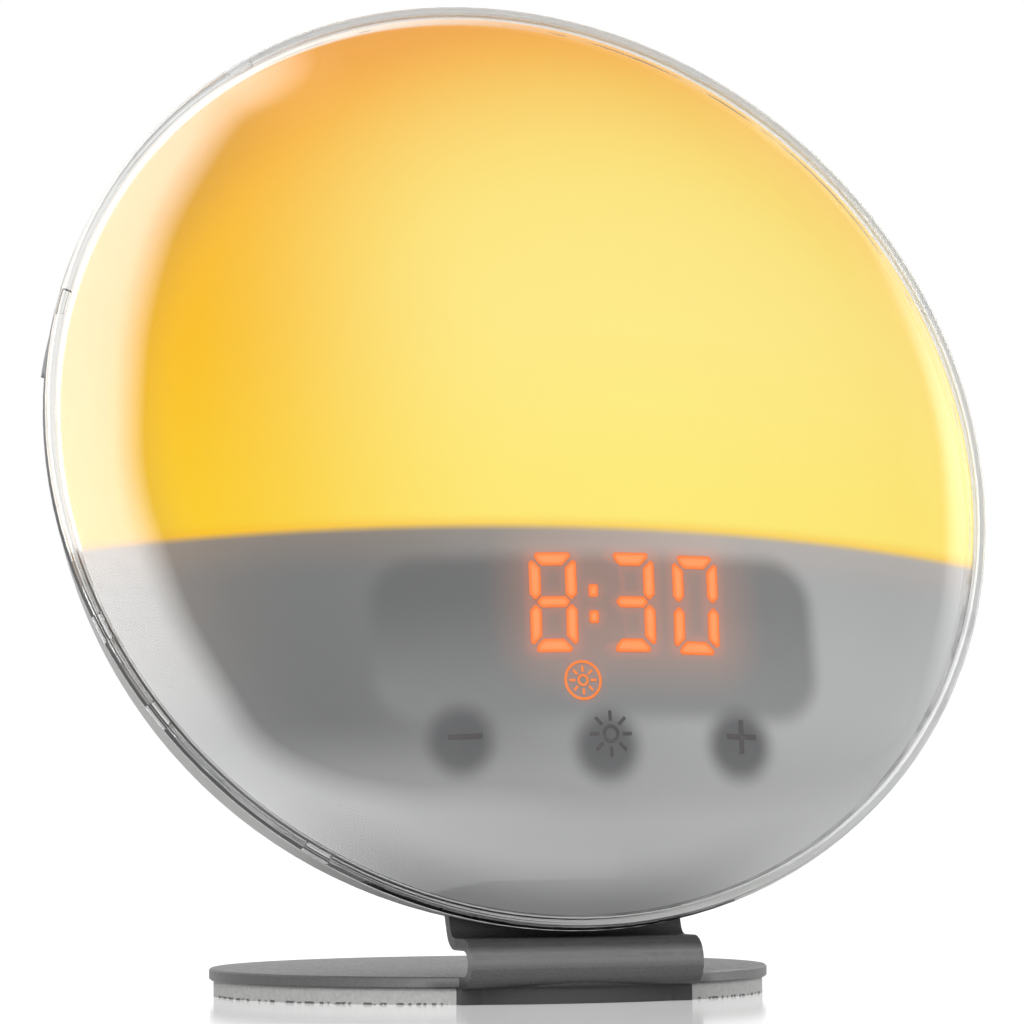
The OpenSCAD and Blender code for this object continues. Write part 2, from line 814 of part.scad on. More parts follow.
module led_emitters() {
  color([1, 0.82, 0.4])
  in_head()
  for (i = [-4 : 4], j = [0 : 5]) {
    x = i * emitter_pitch;
    y = -divider_drop + emitter_up + j * emitter_pitch;
    near = min([for (k = [0, 1]) norm([x, y] - screw_pts[k])]);
    if (norm([x, y]) < led_board_r - emitter_w && near > pillar_r + emitter_w) {
      translate([x, y, board_top_z])
      block(emitter_w, emitter_w, emitter_h);
    }
  }
}

module panel_board() {
  color([0.12, 0.32, 0.2])
  in_head() {
    intersection() {
      translate([0, 0, board_z])
      cylinder(r = tray_r - tray_wall - 0.6, h = board_t, $fn = 120);
      translate([-panel_half, -panel_board_low, board_z])
      cube([2 * panel_half, panel_board_low - panel_board_top, board_t]);
      difference() {
        translate([0, 0, board_z - 1])
        cylinder(r = rim_r, h = board_t + 2);
        for (i = [2, 3]) {
          translate([screw_pts[i][0], screw_pts[i][1], board_z - 1])
          cylinder(r = pillar_r + 0.4, h = board_t + 2);
        }
      }
    }
    translate([panel_plug_x, -panel_plug_drop, tray_z - plug_depth])
    block(plug_w, plug_h, board_z - tray_z + plug_depth);
  }
}

module display_shroud() {
  color([0.2, 0.2, 0.2])
  in_head()
  intersection() {
    translate([panel_x, -shroud_drop, board_top_z])
    difference() {
      rounded(shroud_w, shroud_h, far, 6);
      translate([0, 0, -1])
      rounded(shroud_w - 2 * shroud_wall, shroud_h - 2 * shroud_wall, far + 2, 5);
    }
    under_ball(diff_in_ball - tray_fit, tray_r, tray_z);
    difference() {
      translate([0, 0, tray_z])
      cylinder(r = rim_r, h = far);
      for (i = [2, 3]) {
        translate([screw_pts[i][0], screw_pts[i][1], tray_z - 1])
        cylinder(r = pillar_r + 0.3, h = far);
      }
    }
  }
}

// Places its children on the display face, z out of the slanted face
module on_display() {
  in_head()
  translate([panel_x, -digit_drop, display_z])
  rotate([display_slant, 0, 0])
  children();
}

module display_module() {
  color([0.1, 0.1, 0.1])
  intersection() {
    in_head()
    translate([panel_x - module_w / 2, -module_low, board_top_z])
    cube([module_w, module_low - module_top, far]);
    on_display()
    translate([0, 0, -far])
    block(4 * module_w, far, far);
  }
}

// One bar with pointed ends, long side along x
module bar(l) {
  h = bar_w / 2;
  linear_extrude(bar_h)
  polygon([[-l / 2, 0], [-l / 2 + h, h], [l / 2 - h, h], [l / 2, 0], [l / 2 - h, -h],
    [-l / 2 + h, -h]]);
}

module digit() {
  across = digit_w - bar_w - bar_gap;
  down = (digit_h - bar_w) / 2 - bar_gap;
  rise = (digit_h - bar_w) / 2;
  side = (digit_w - bar_w) / 2;
  union() {
    for (y = [-rise, 0, rise]) {
      translate([0, y, 0])
      bar(across);
    }
    for (x = [-side, side], y = [-rise / 2, rise / 2]) {
      translate([x, y, 0])
      rotate([0, 0, 90])
      bar(down);
    }
  }
}

module display_segments() {
  color([1, 0.45, 0.15])
  on_display() {
    for (x = digit_xs) {
      translate([x, 0, 0])
      digit();
    }
    for (y = [-colon_step / 2, colon_step / 2]) {
      translate([0, y, 0])
      block(bar_w, bar_w, bar_h);
    }
    translate([-icon_left, -icon_drop, 0])
    alarm_sign();
  }
}

// A ring on the display face
module ring(r, line) {
  difference() {
    cylinder(r = r, h = bar_h, $fn = 48);
    translate([0, 0, -1])
    cylinder(r = r - line, h = bar_h + 2, $fn = 48);
  }
}

// The sign under the digits: a small sun in a ring
module alarm_sign() {
  ring(icon_d / 2, icon_line);
  ring(icon_sun_r, icon_line);
  for (a = [0 : 45 : 315]) {
    rotate([0, 0, a])
    translate([(icon_ray_in + icon_ray_out) / 2, 0, 0])
    block(icon_ray_out - icon_ray_in, icon_line, bar_h);
  }
}

module touch_key(k) {
  x = panel_x + k * touch_pitch;
  color([0.35, 0.35, 0.36])
  in_head()
  intersection() {
    translate([x, -touch_drop, board_top_z])
    union() {
      cylinder(d = touch_stem_d, h = far, $fn = 48);
      difference() {
        cylinder(d = touch_d, h = far, $fn = 64);
        translate([-x, touch_drop, -board_top_z])
        under_ball(diff_in_ball - touch_fit - touch_t, tray_r, tray_z);
      }
    }
    under_ball(diff_in_ball - touch_fit, tray_r, tray_z);
  }
}

module hinge_bracket() {
  color([0.7, 0.71, 0.73])
  in_head()
  difference() {
    union() {
      translate([-ear_in - bracket_t, -hinge_drop - bracket_low, bracket_z])
      cube([2 * (ear_in + bracket_t), 2 * knuckle_r + 5, bracket_t]);
      for (x = [-ear_in - bracket_t, ear_in]) {
        cross_bar(knuckle_r, x, x + bracket_t);
        translate([x, -hinge_drop - bracket_low, bracket_z])
        cube([bracket_t, knuckle_r + bracket_low, pin_z - bracket_z]);
      }
      cross_bar(knuckle_r, -mid_half, mid_half);
      translate([-mid_half, -hinge_drop - bracket_low, bracket_z])
      cube([2 * mid_half, knuckle_r + bracket_low, pin_z - bracket_z]);
    }
    cross_bar(pin_r, -far, far);
    for (x = boss_xs, d = boss_drops) {
      translate([x, -d, bracket_z - 1])
      cylinder(r = screw_r + 0.1, h = bracket_t + 2, $fn = 32);
    }
  }
}

module hinge_pin() {
  color([0.75, 0.76, 0.78])
  in_head()
  union() {
    cross_bar(pin_r, -ear_in - bracket_t - 1, ear_in + bracket_t + 1);
    cross_bar(pin_r + 0.6, -ear_in - bracket_t - 1, -ear_in - bracket_t);
    cross_bar(pin_r + 0.6, ear_in + bracket_t, ear_in + bracket_t + 1);
  }
}

module friction_washer(side) {
  x0 = side < 0 ? -ear_in : ear_in - washer_t;
  color([0.8, 0.7, 0.4])
  in_head()
  difference() {
    cross_bar(knuckle_r - 0.2, x0, x0 + washer_t);
    cross_bar(pin_r, x0 - 1, x0 + washer_t + 1);
  }
}

module screw(head_r, head_h, shaft_l) {
  union() {
    cylinder(r = screw_r - 0.3, h = shaft_l, $fn = 32);
    translate([0, 0, -head_h])
    difference() {
      cylinder(r = head_r, h = head_h, $fn = 32);
      translate([0, 0, -1])
      union() {
        block(2.4, 0.6, 1.6);
        block(0.6, 2.4, 1.6);
      }
    }
  }
}

module bracket_screws() {
  color([0.7, 0.7, 0.72])
  in_head()
  for (x = boss_xs, d = boss_drops) {
    translate([x, -d, bracket_z + bracket_t])
    rotate([180, 0, 0])
    screw(bracket_head_r, bracket_head_h, bracket_screw_l);
  }
}

module main_board() {
  color([0.1, 0.35, 0.2])
  in_head()
  union() {
    difference() {
      translate([0, -main_drop, main_back_z])
      block(main_w, main_h, board_t);
      for (x = post_xs, d = post_drops) {
        translate([x, -d, main_back_z - 1])
        cylinder(r = screw_r, h = board_t + 2, $fn = 32);
      }
    }
    for (p = [[0, -led_plug_drop], [panel_plug_x, -panel_plug_drop]]) {
      translate([p[0], p[1], main_z])
      block(plug_w, plug_h, plug_tall);
    }
  }
}

module control_chip() {
  color([0.12, 0.12, 0.13])
  in_head()
  translate([-chip_x, -main_drop - chip_drop, main_z])
  union() {
    translate([0, 0, chip_lift])
    block(chip_w, chip_w, board_t);
    for (i = [-chip_legs : chip_legs]) {
      translate([i * chip_pitch, 0, 0])
      block(chip_leg_w, chip_w + 2 * chip_leg_l, chip_leg_w);
    }
  }
}

module power_parts() {
  color([0.3, 0.32, 0.4])
  in_head()
  translate([chip_x, -main_drop - caps_drop, main_z]) {
    for (i = [-1, 1]) {
      translate([i * cap_x, 0, 0])
      cylinder(r = cap_r, h = cap_h, $fn = 48);
    }
    translate([0, -coil_drop, 0])
    block(coil_size[0], coil_size[1], coil_size[2]);
  }
}

// A flat strip between two plugs, on a slant where they are out of line
module ribbon(x, drop_top, drop_low) {
  top = tray_z - plug_depth;
  low = main_z + plug_tall;
  color([0.88, 0.88, 0.85])
  in_head()
  translate([x - ribbon_w / 2, 0, 0])
  rotate([90, 0, 90])
  linear_extrude(ribbon_w)
  polygon([[-drop_top - ribbon_t / 2, top], [-drop_top + ribbon_t / 2, top],
    [-drop_low + ribbon_t / 2, low], [-drop_low - ribbon_t / 2, low]]);
}

module dc_inlet() {
  tall = main_back_z - back_in_z;
  color([0.1, 0.1, 0.1])
  in_head()
  translate([-inlet_x, -inlet_drop, back_in_z])
  difference() {
    block(inlet_w, inlet_w, tall);
    difference() {
      translate([0, 0, -1])
      cylinder(r = inlet_r, h = tall - inlet_wall + 1, $fn = 48);
      cylinder(r = inlet_pin_r, h = tall, $fn = 24);
    }
  }
}

module cell_holder() {
  color([0.15, 0.15, 0.16])
  in_head()
  translate([0, -cell_drop, cell_z - cell_t - 0.4])
  difference() {
    cylinder(d = cell_d + 4, h = main_back_z - cell_z + cell_t + 0.4);
    translate([0, 0, -1])
    cylinder(d = cell_d + 0.4, h = cell_t + 1.4);
    translate([0, 0, -1])
    block(9, far, 3);
  }
}

module coin_cell() {
  color([0.8, 0.81, 0.83])
  in_head()
  translate([0, -cell_drop, cell_z - cell_t])
  union() {
    translate([0, 0, 0.4])
    cylinder(d = cell_d - 2, h = cell_t - 0.4);
    cylinder(d = cell_d, h = cell_t - 0.4);
  }
}

module speaker_gasket() {
  color([0.15, 0.15, 0.15])
  in_head()
  translate([0, speaker_rise, back_in_z])
  difference() {
    cylinder(r = speaker_r, h = gasket_t);
    translate([0, 0, -1])
    cylinder(r = speaker_r - 3, h = gasket_t + 2);
  }
}

module speaker_frame() {
  z0 = back_in_z + gasket_t;
  color([0.3, 0.3, 0.32])
  in_head()
  translate([0, speaker_rise, z0])
  difference() {
    rotate_extrude()
    polygon([[speaker_r - 3, 0], [speaker_r, 0], [speaker_r, 1.4], [speaker_r - 3, 1.4],
      [magnet_r + 1, frame_h], [0, frame_h], [0, frame_h - 1.2], [magnet_r, frame_h - 1.2],
      [speaker_r - 5, 1]]);
    for (a = [0 : 60 : 300]) {
      rotate([0, 0, a])
      translate([magnet_r + 4.5, 0, 1.6])
      cylinder(r = 2.6, h = frame_h, $fn = 32);
    }
  }
}

module speaker_cone() {
  z0 = back_in_z + gasket_t;
  color([0.1, 0.1, 0.1])
  in_head()
  translate([0, speaker_rise, z0])
  rotate_extrude()
  polygon([[speaker_r - 3, 0], [speaker_r - 3.2, -0.6], [speaker_r - 5, -0.6],
    [speaker_r - 6.2, 0], [9, 4.6], [6, 3.4], [0, 2.6], [0, 3.1], [5.8, 4], [9, frame_h - 1.2],
    [9.6, frame_h - 1.2], [9.6, 4.9], [speaker_r - 5, 0.8]]);
}

module speaker_magnet() {
  z0 = back_in_z + gasket_t + frame_h;
  color([0.45, 0.45, 0.47])
  in_head()
  translate([0, speaker_rise, z0])
  union() {
    cylinder(r = magnet_r, h = 5);
    cylinder(r = magnet_r - 1.4, h = 7);
  }
}

module speaker_lead() {
  z0 = back_in_z + gasket_t + 1.4;
  top = speaker_rise - sqrt(speaker_r * speaker_r - lead_x * lead_x);
  low = -(main_drop - main_h / 2);
  color([0.7, 0.2, 0.2])
  in_head()
  for (x = [lead_x - lead_gap, lead_x + lead_gap]) {
    translate([x - lead_t / 2, 0, 0])
    rotate([90, 0, 90])
    linear_extrude(lead_t)
    polygon([[top + 1, z0], [top + 1, z0 + lead_t], [top - 1.5, main_z + 1], [low - 1.5, main_z + 1],
      [low - 1.5, main_z], [low + 0.3, main_z], [top - 0.8, z0]]);
  }
}

module side_switch(side) {
  color([0.15, 0.3, 0.2])
  at_side_key(side)
  union() {
    translate([0, 0, side_board_r])
    block(side_key_l + 4, side_key_w + 0.6, side_board_t);
    translate([0, 0, side_board_r + side_board_t])
    cylinder(r = 1.8, h = side_dome_h, $fn = 32);
  }
}

module side_key(side) {
  flange_z = side_seat_r - side_seat_gap - side_flange_t;
  nub_z = side_board_r + side_board_t + side_dome_h + side_key_travel + 0.1;
  color([0.62, 0.63, 0.62])
  union() {
    intersection() {
      at_side_key(side)
      translate([0, 0, flange_z])
      stadium(side_key_l, side_key_w, 20);
      in_head()
      rotate_extrude($fn = 180)
      polygon([[0, -side_key_depth - side_key_w], [side_skin_r, -side_key_depth - side_key_w],
        [side_skin_r + side_key_rise - 0.8, -side_key_depth - side_key_w / 2],
        [side_skin_r + side_key_rise, -side_key_depth - side_key_w / 4],
        [side_skin_r + side_key_rise + 0.2, -side_key_depth],
        [side_skin_r + side_key_rise, -side_key_depth + side_key_w / 4],
        [side_skin_r + side_key_rise - 0.8, -side_key_depth + side_key_w / 2],
        [side_skin_r, -side_key_depth + side_key_w],
        [0, -side_key_depth + side_key_w]]);
    }
    at_side_key(side) {
      translate([0, 0, flange_z])
      block(side_key_l + 4, side_key_w + 1.2, side_flange_t);
      translate([0, 0, nub_z])
      cylinder(r = 1.2, h = flange_z - nub_z + 0.2, $fn = 32);
    }
  }
}

module rear_switches() {
  color([0.12, 0.12, 0.12])
  in_head()
  for (x = rear_key_xs) {
    translate([x, -rear_key_drop, main_back_z - switch_h])
    union() {
      block(switch_w, switch_w, switch_h);
      translate([0, 0, -plunger_h])
      cylinder(r = 1.7, h = plunger_h, $fn = 32);
    }
  }
}

module rear_key(k) {
  stem_z = main_back_z - switch_h - plunger_h - rear_key_travel - 0.1;
  flange_z = back_in_z + 0.05;
  color([0.62, 0.63, 0.62])
  in_head()
  translate([k * rear_key_pitch, -rear_key_drop, 0])
  rotate_extrude()
  polygon([[0, -shell_depth - rear_key_rise - 0.3],
    [rear_key_d / 2 - 1.2, -shell_depth - rear_key_rise - 0.1],
    [rear_key_d / 2 - 0.4, -shell_depth - rear_key_rise + 0.1],
    [rear_key_d / 2, -shell_depth - rear_key_rise + 0.6], [rear_key_d / 2, flange_z],
    [rear_key_d / 2 + 1.5, flange_z], [rear_key_d / 2 + 1.5, flange_z + 1], [1.6, flange_z + 1],
    [1.6, stem_z], [0, stem_z]]);
}

module case_screws() {
  color([0.7, 0.7, 0.72])
  in_head()
  for (p = screw_pts) {
    translate([p[0], p[1], well_floor_z])
    screw(3, 2, tray_top_z - well_floor_z + 4);
  }
}

module board_screws() {
  color([0.7, 0.7, 0.72])
  in_head()
  for (x = post_xs, d = post_drops) {
    translate([x, -d, main_z])
    rotate([180, 0, 0])
    screw(2.4, 1.4, board_t + 4);
  }
}

module cell_cover() {
  color([0.76, 0.76, 0.75])
  in_head()
  difference() {
    union() {
      translate([cover_mid_x, -cell_drop, cover_z])
      rounded(cover_l, cover_w, cover_t, 2.8);
      translate([0, -cell_drop, cover_z])
      cylinder(d = cell_d + 0.4, h = shell_wall);
    }
    translate([0, -cell_drop, cover_z + cover_t])
    cylinder(d = cell_d - 3, h = shell_wall);
    translate([cover_screw_x, -cell_drop, cover_z - 1])
    union() {
      cylinder(r = cover_screw_r + 0.05, h = far, $fn = 32);
      cylinder(r = 2.2, h = 1 + 0.7, $fn = 32);
    }
    for (i = [-2 : 2]) {
      translate([cover_mid_x - cover_l / 2 + 4, -cell_drop + i * 1.8, cover_z - 1])
      block(4, 0.7, 1.3);
    }
  }
}

module cell_cover_screw() {
  color([0.7, 0.7, 0.72])
  in_head()
  translate([cover_screw_x, -cell_drop, cover_z + 0.7])
  union() {
    cylinder(r = cover_screw_r, h = 4.4, $fn = 32);
    translate([0, 0, -0.65])
    difference() {
      cylinder(r = 2, h = 0.65, $fn = 32);
      translate([0, 0, -1])
      block(2.6, 0.5, 1.3);
    }
  }
}

stand_band();
foot_pad();
in_head() rear_shell();
front_lens();
diffuser();
light_tray();
panel_tray();
led_board();
led_emitters();
panel_board();
display_shroud();
display_module();
display_segments();
touch_key(-1);  // touch_minus
touch_key(0);  // touch_light
touch_key(1);  // touch_plus
hinge_bracket();
hinge_pin();
friction_washer(-1);  // friction_washer_left
friction_washer(1);  // friction_washer_right
bracket_screws();
main_board();
control_chip();
power_parts();
ribbon(0, divider_drop - led_plug_up, led_plug_drop);  // led_ribbon
ribbon(panel_plug_x, panel_plug_drop, panel_plug_drop);  // panel_ribbon
dc_inlet();
cell_holder();
coin_cell();
speaker_gasket();
speaker_frame();
speaker_cone();
speaker_magnet();
speaker_lead();
side_switch(-1);  // side_switch_left
side_switch(1);  // side_switch_right
rear_switches();
case_screws();
board_screws();
side_key(-1);  // side_key_left
side_key(1);  // side_key_right
rear_key(-1);  // rear_key_left
rear_key(0);  // rear_key_middle
rear_key(1);  // rear_key_right
cell_cover();
cell_cover_screw();
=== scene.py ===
# %% [markdown]
# A sunrise alarm clock: a round lamp on a bent sheet of grey steel. Its upper half glows like a rising sun,
# and its lower half shows the time. This lesson gives them their finishes, adds what only the eye needs, and
# lights the whole in a small studio.

# %% Start: tools and frame
import math

import bpy
from mathutils import Matrix, Vector


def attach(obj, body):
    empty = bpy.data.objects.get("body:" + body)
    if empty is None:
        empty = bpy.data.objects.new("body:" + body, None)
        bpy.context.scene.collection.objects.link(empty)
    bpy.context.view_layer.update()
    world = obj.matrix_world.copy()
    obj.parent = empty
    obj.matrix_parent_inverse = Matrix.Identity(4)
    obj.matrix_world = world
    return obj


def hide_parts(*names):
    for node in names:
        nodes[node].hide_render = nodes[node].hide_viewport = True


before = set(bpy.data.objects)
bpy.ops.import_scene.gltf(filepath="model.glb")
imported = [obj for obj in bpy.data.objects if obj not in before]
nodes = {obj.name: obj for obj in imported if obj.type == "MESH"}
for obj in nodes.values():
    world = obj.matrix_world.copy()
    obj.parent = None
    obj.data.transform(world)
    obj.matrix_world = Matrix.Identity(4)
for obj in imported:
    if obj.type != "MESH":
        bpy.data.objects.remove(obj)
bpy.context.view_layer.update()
print("parts from the engineers:", len(nodes))

# %% [markdown]
# The head leans back, so everything on its face is easier to place in the head's own directions: x across
# the face, v up along it, and n straight out of it. An empty parent could carry these directions, but finished
# pieces have to sit at the origin, so one function turns head millimetres into room metres instead.

# %% The head's own directions
TILT = math.radians(20.6)      # how far the head leans back
RIM = 0.089                    # radius of the rim, in metres
RIM_LOWEST = 0.0135            # the rim's lowest point over the table, in metres
HEAD = Vector((0, -0.0208, RIM_LOWEST + RIM * math.cos(TILT)))     # the middle of the rim's plane


def on_head(x, v, n):
    """A point of the head, given in millimetres across, up and out of the face, in metres in the room."""
    return HEAD + Vector((x, v * math.sin(TILT) - n * math.cos(TILT), v * math.cos(TILT) + n * math.sin(TILT))) / 1000


BALL = 238.14          # radius of the clear dome, in millimetres
DOME_HIGH = 16.5       # how far its middle stands out of the rim's plane
MILKY_BALL = 235.94    # radius of the milky dome under it, round the same centre


def dome_n(x, v):
    """How far the milky dome stands out at a place of the face."""
    return DOME_HIGH - BALL + math.sqrt(MILKY_BALL * MILKY_BALL - x * x - v * v)


print("top of the milky dome:", round(dome_n(0, 0), 2), "mm out of the rim's plane")

# %% [markdown]
# The camera stands left of the clock, a little under its middle. A long lens far away keeps the round face a
# true ellipse, where a short lens would swell the near side. The camera could follow a Track To constraint, but
# three plain directions, right, up and back, also set its small roll.

# %% Camera
AIM = math.radians(19.94)      # to the right of straight ahead
PITCH = math.radians(0.90)     # upwards
ROLL = math.radians(-0.42)
EYE_AT = (-0.5161, -1.4373, 0.0635)
PICTURE = 1024                 # width of the picture, in pixels
FOCAL = 8390                   # focal length, in the same pixels

ahead = Vector((math.sin(AIM) * math.cos(PITCH), math.cos(AIM) * math.cos(PITCH), math.sin(PITCH)))
level = Vector((math.cos(AIM), -math.sin(AIM), 0))
above = level.cross(ahead)
right = level * math.cos(ROLL) + above * math.sin(ROLL)
above = above * math.cos(ROLL) - level * math.sin(ROLL)
eye = bpy.data.cameras.new("long_lens")
camera = bpy.data.objects.new("camera", eye)
bpy.context.scene.collection.objects.link(camera)
eye.sensor_width = 36
eye.lens = FOCAL / PICTURE * 36
eye.clip_start, eye.clip_end = 0.05, 50
camera.matrix_world = Matrix.Translation(EYE_AT) @ Matrix((right, above, -ahead)).transposed().to_4x4()
bpy.context.scene.camera = camera
bpy.context.scene.view_settings.view_transform = "Standard"
print("lens:", round(eye.lens), "mm")

# %% [markdown]
# A material is a small graph of nodes. They could be added and wired one by one, as in the shader editor, but
# the dome's finish has hundreds. With the class Field a finish is written as plain sums: a field is one socket
# of the graph, and adding, scaling or comparing fields adds the nodes.

# %% Fields: sums that become nodes
class Field:
    """A socket of a material's graph that can be added, scaled and compared."""

    def __init__(self, graph, socket):
        self.graph, self.socket = graph, socket

    def _math(self, operation, other=0.0):
        node = self.graph.new("ShaderNodeMath")
        node.operation = operation
        for slot, value in zip(node.inputs, (self, other)):
            if isinstance(value, Field):
                self.graph.id_data.links.new(value.socket, slot)
            else:
                slot.default_value = value
        return Field(self.graph, node.outputs[0])

    def __add__(self, other): return self._math("ADD", other)
    def __sub__(self, other): return self._math("SUBTRACT", other)
    def __mul__(self, other): return self._math("MULTIPLY", other)
    def __truediv__(self, other): return self._math("DIVIDE", other)
    def least(self, other): return self._math("MINIMUM", other)
    def most(self, other): return self._math("MAXIMUM", other)
    def size(self): return self._math("ABSOLUTE")
    def root(self): return self._math("SQRT")

    def ramp(self, start, end, low=0.0, high=1.0):
        """Goes smoothly from low to high while this field goes from start to end."""
        node = self.graph.new("ShaderNodeMapRange")
        node.interpolation_type = "SMOOTHSTEP"
        self.graph.id_data.links.new(self.socket, node.inputs["Value"])
        for name, value in (("From Min", start), ("From Max", end), ("To Min", low), ("To Max", high)):
            node.inputs[name].default_value = value
        return Field(self.graph, node.outputs[0])


def reach(across, up):
    """Distance from the middle, for a place that is given as two fields."""
    return (across * across + up * up).root()


print("fields are ready")

# %% [markdown]
# Every finish starts from the Principled shader, which covers plastic, metal and clear shells alike. Its plain
# values, such as the index of refraction, are set once on the shader. What changes over a surface, such as
# colour or roughness, is linked to a pattern that lives in the object's own coordinates, so it moves with it.

# %% Finishes
class Finish:
    """A new material with a Principled shader, and shortcuts to the nodes that this clock's finishes need."""

    def __init__(self, name, colour, roughness, **sockets):
        self.material = bpy.data.materials.new(name)
        self.material.use_nodes = True
        self.tree = self.material.node_tree
        self.graph = self.tree.nodes
        self.shader = self.graph["Principled BSDF"]
        self.output = self.graph["Material Output"]
        self.shader.inputs["Base Color"].default_value = (*colour, 1)
        self.shader.inputs["Roughness"].default_value = roughness
        for socket, value in sockets.items():
            self.shader.inputs[socket.replace("_", " ")].default_value = value
        self.place = self.graph.new("ShaderNodeTexCoord").outputs["Object"]

    def link(self, start, end):
        self.tree.links.new(start.socket if isinstance(start, Field) else start, end)

    def colour(self, value):
        self.link(value, self.shader.inputs["Base Color"])

    def roughness(self, value):
        self.link(value, self.shader.inputs["Roughness"])

    def mapped(self, location=(0, 0, 0), rotation=(0, 0, 0), scale=(1, 1, 1), kind="POINT"):
        node = self.graph.new("ShaderNodeMapping")
        node.vector_type = kind
        node.inputs["Location"].default_value = location
        node.inputs["Rotation"].default_value = rotation
        node.inputs["Scale"].default_value = scale
        self.link(self.place, node.inputs["Vector"])
        return node.outputs[0]

    def split(self, where):
        parts = self.graph.new("ShaderNodeSeparateXYZ")
        self.link(where, parts.inputs[0])
        return [Field(self.graph, out) for out in parts.outputs]

    def room_fields(self):
        """X, Y and Z over the table, in metres, as fields."""
        return self.split(self.place)

    def head_fields(self):
        """x, v and n of the head, in millimetres, as fields."""
        return self.split(self.mapped(HEAD, (math.pi / 2 - TILT, 0, 0), (0.001,) * 3, "TEXTURE"))

    def noise(self, scale, detail=2.0, rough=0.5, where=None):
        node = self.graph.new("ShaderNodeTexNoise")
        node.inputs["Scale"].default_value = scale
        node.inputs["Detail"].default_value = detail
        node.inputs["Roughness"].default_value = rough
        self.link(where or self.place, node.inputs["Vector"])
        return Field(self.graph, node.outputs["Fac"])

    def marked(self, attribute):
        """A number that each point of the mesh carries, as a field."""
        node = self.graph.new("ShaderNodeAttribute")
        node.attribute_name = attribute
        return Field(self.graph, node.outputs["Fac"])

    def blend(self, factor, first, second):
        """A colour between first and second. Each is a plain colour or a socket."""
        node = self.graph.new("ShaderNodeMix")
        node.data_type = "RGBA"
        self.link(factor, node.inputs[0])
        for value, slot in ((first, node.inputs[6]), (second, node.inputs[7])):
            if isinstance(value, tuple):
                slot.default_value = (*value, 1)
            else:
                self.link(value, slot)
        return node.outputs[2]

    def mixed(self, factor, first, second):
        """A shader between first and second."""
        node = self.graph.new("ShaderNodeMixShader")
        for value, slot in zip((factor, first, second), node.inputs):
            self.link(value, slot)
        return node.outputs[0]

    def stops(self, factor, *pairs):
        """A colour ramp: pairs of place and colour."""
        node = self.graph.new("ShaderNodeValToRGB")
        ramp = node.color_ramp
        while len(ramp.elements) < len(pairs):
            ramp.elements.new(0.5)
        for element, (place, colour) in zip(ramp.elements, pairs):
            element.position = place
            element.color = (*colour, 1)
        self.link(factor, node.inputs[0])
        return node.outputs[0]

    def bump(self, height, depth, strength=0.5):
        node = self.graph.new("ShaderNodeBump")
        node.inputs["Distance"].default_value = depth
        node.inputs["Strength"].default_value = strength
        self.link(height, node.inputs["Height"])
        self.link(node.outputs[0], self.shader.inputs["Normal"])

    def glow(self, colour, strength=1.0):
        for value, name in ((colour, "Emission Color"), (strength, "Emission Strength")):
            slot = self.shader.inputs[name]
            if isinstance(value, tuple):
                slot.default_value = (*value, 1)
            elif isinstance(value, float):
                slot.default_value = value
            else:
                self.link(value, slot)


def dress(finish, *names):
    """Gives engineered parts their finish."""
    for name in names:
        part = nodes[name]
        part.data.materials.clear()
        part.data.materials.append(finish.material)
    print(finish.material.name, "->", ", ".join(names))


# %% [markdown]
# Shell, trays and keys are moulded plastic, and moulded plastic is never quite even: its colour wanders a
# little, and its skin has a fine texture from the mould. Painted textures would need an unwrapped mesh. Two
# noises, a wide one for the colour and a fine one for the skin, do it on any shape, so one function makes all.

# %% Plain plastics
def plastic(name, colour, roughness, grain=0.00002, wander=0.06, scale=900.0):
    made = Finish(name, colour, roughness)
    cloud = made.noise(40, 3)
    darker = tuple(c * (1 - wander) for c in colour)
    made.colour(made.blend(cloud.ramp(0.3, 0.7), darker, colour))
    skin = made.noise(scale, 3, 0.6)
    made.bump(skin, grain)
    made.roughness(skin.ramp(0.2, 0.8, roughness - 0.06, roughness + 0.06))
    return made


shell_grey = plastic("shell_grey", (0.62, 0.62, 0.61), 0.42)
dress(shell_grey, "rear_shell", "cell_cover")
dress(plastic("white_tray", (0.82, 0.81, 0.78), 0.5), "light_tray")
dress(plastic("panel_grey", (0.42, 0.42, 0.42), 0.5), "panel_tray")
dress(plastic("dark_case", (0.03, 0.03, 0.033), 0.45),
      "display_shroud", "display_module", "dc_inlet", "cell_holder", "control_chip")
dress(plastic("key_grey", (0.34, 0.34, 0.345), 0.5, 0.00003),
      "side_key_left", "side_key_right", "rear_key_left", "rear_key_middle", "rear_key_right")
dress(plastic("dark_rubber", (0.05, 0.05, 0.052), 0.7, 0.00004, 0.15, 1200),
      "touch_minus", "touch_light", "touch_plus", "speaker_gasket")

# %% [markdown]
# The shell's front edge lies right behind the clear rim and catches light that leaks sideways out of the milky
# dome. That light would need very many samples to find its way, so the edge gets a faint glow of its own, only
# in the narrow ring where the light would land, and only beside the lit half.

# %% Light caught by the shell's edge
across, up, out = shell_grey.head_fields()
from_rim = reach(across, up)
caught = from_rim.ramp(88.6, 87.9) * from_rim.ramp(82.0, 83.0) * out.ramp(-4.5, -2.5) * up.ramp(-22.0, -14.0)
shell_grey.glow((1.0, 0.97, 0.93), caught * 0.38)
print("the shell glows only in a ring 5 mm wide")
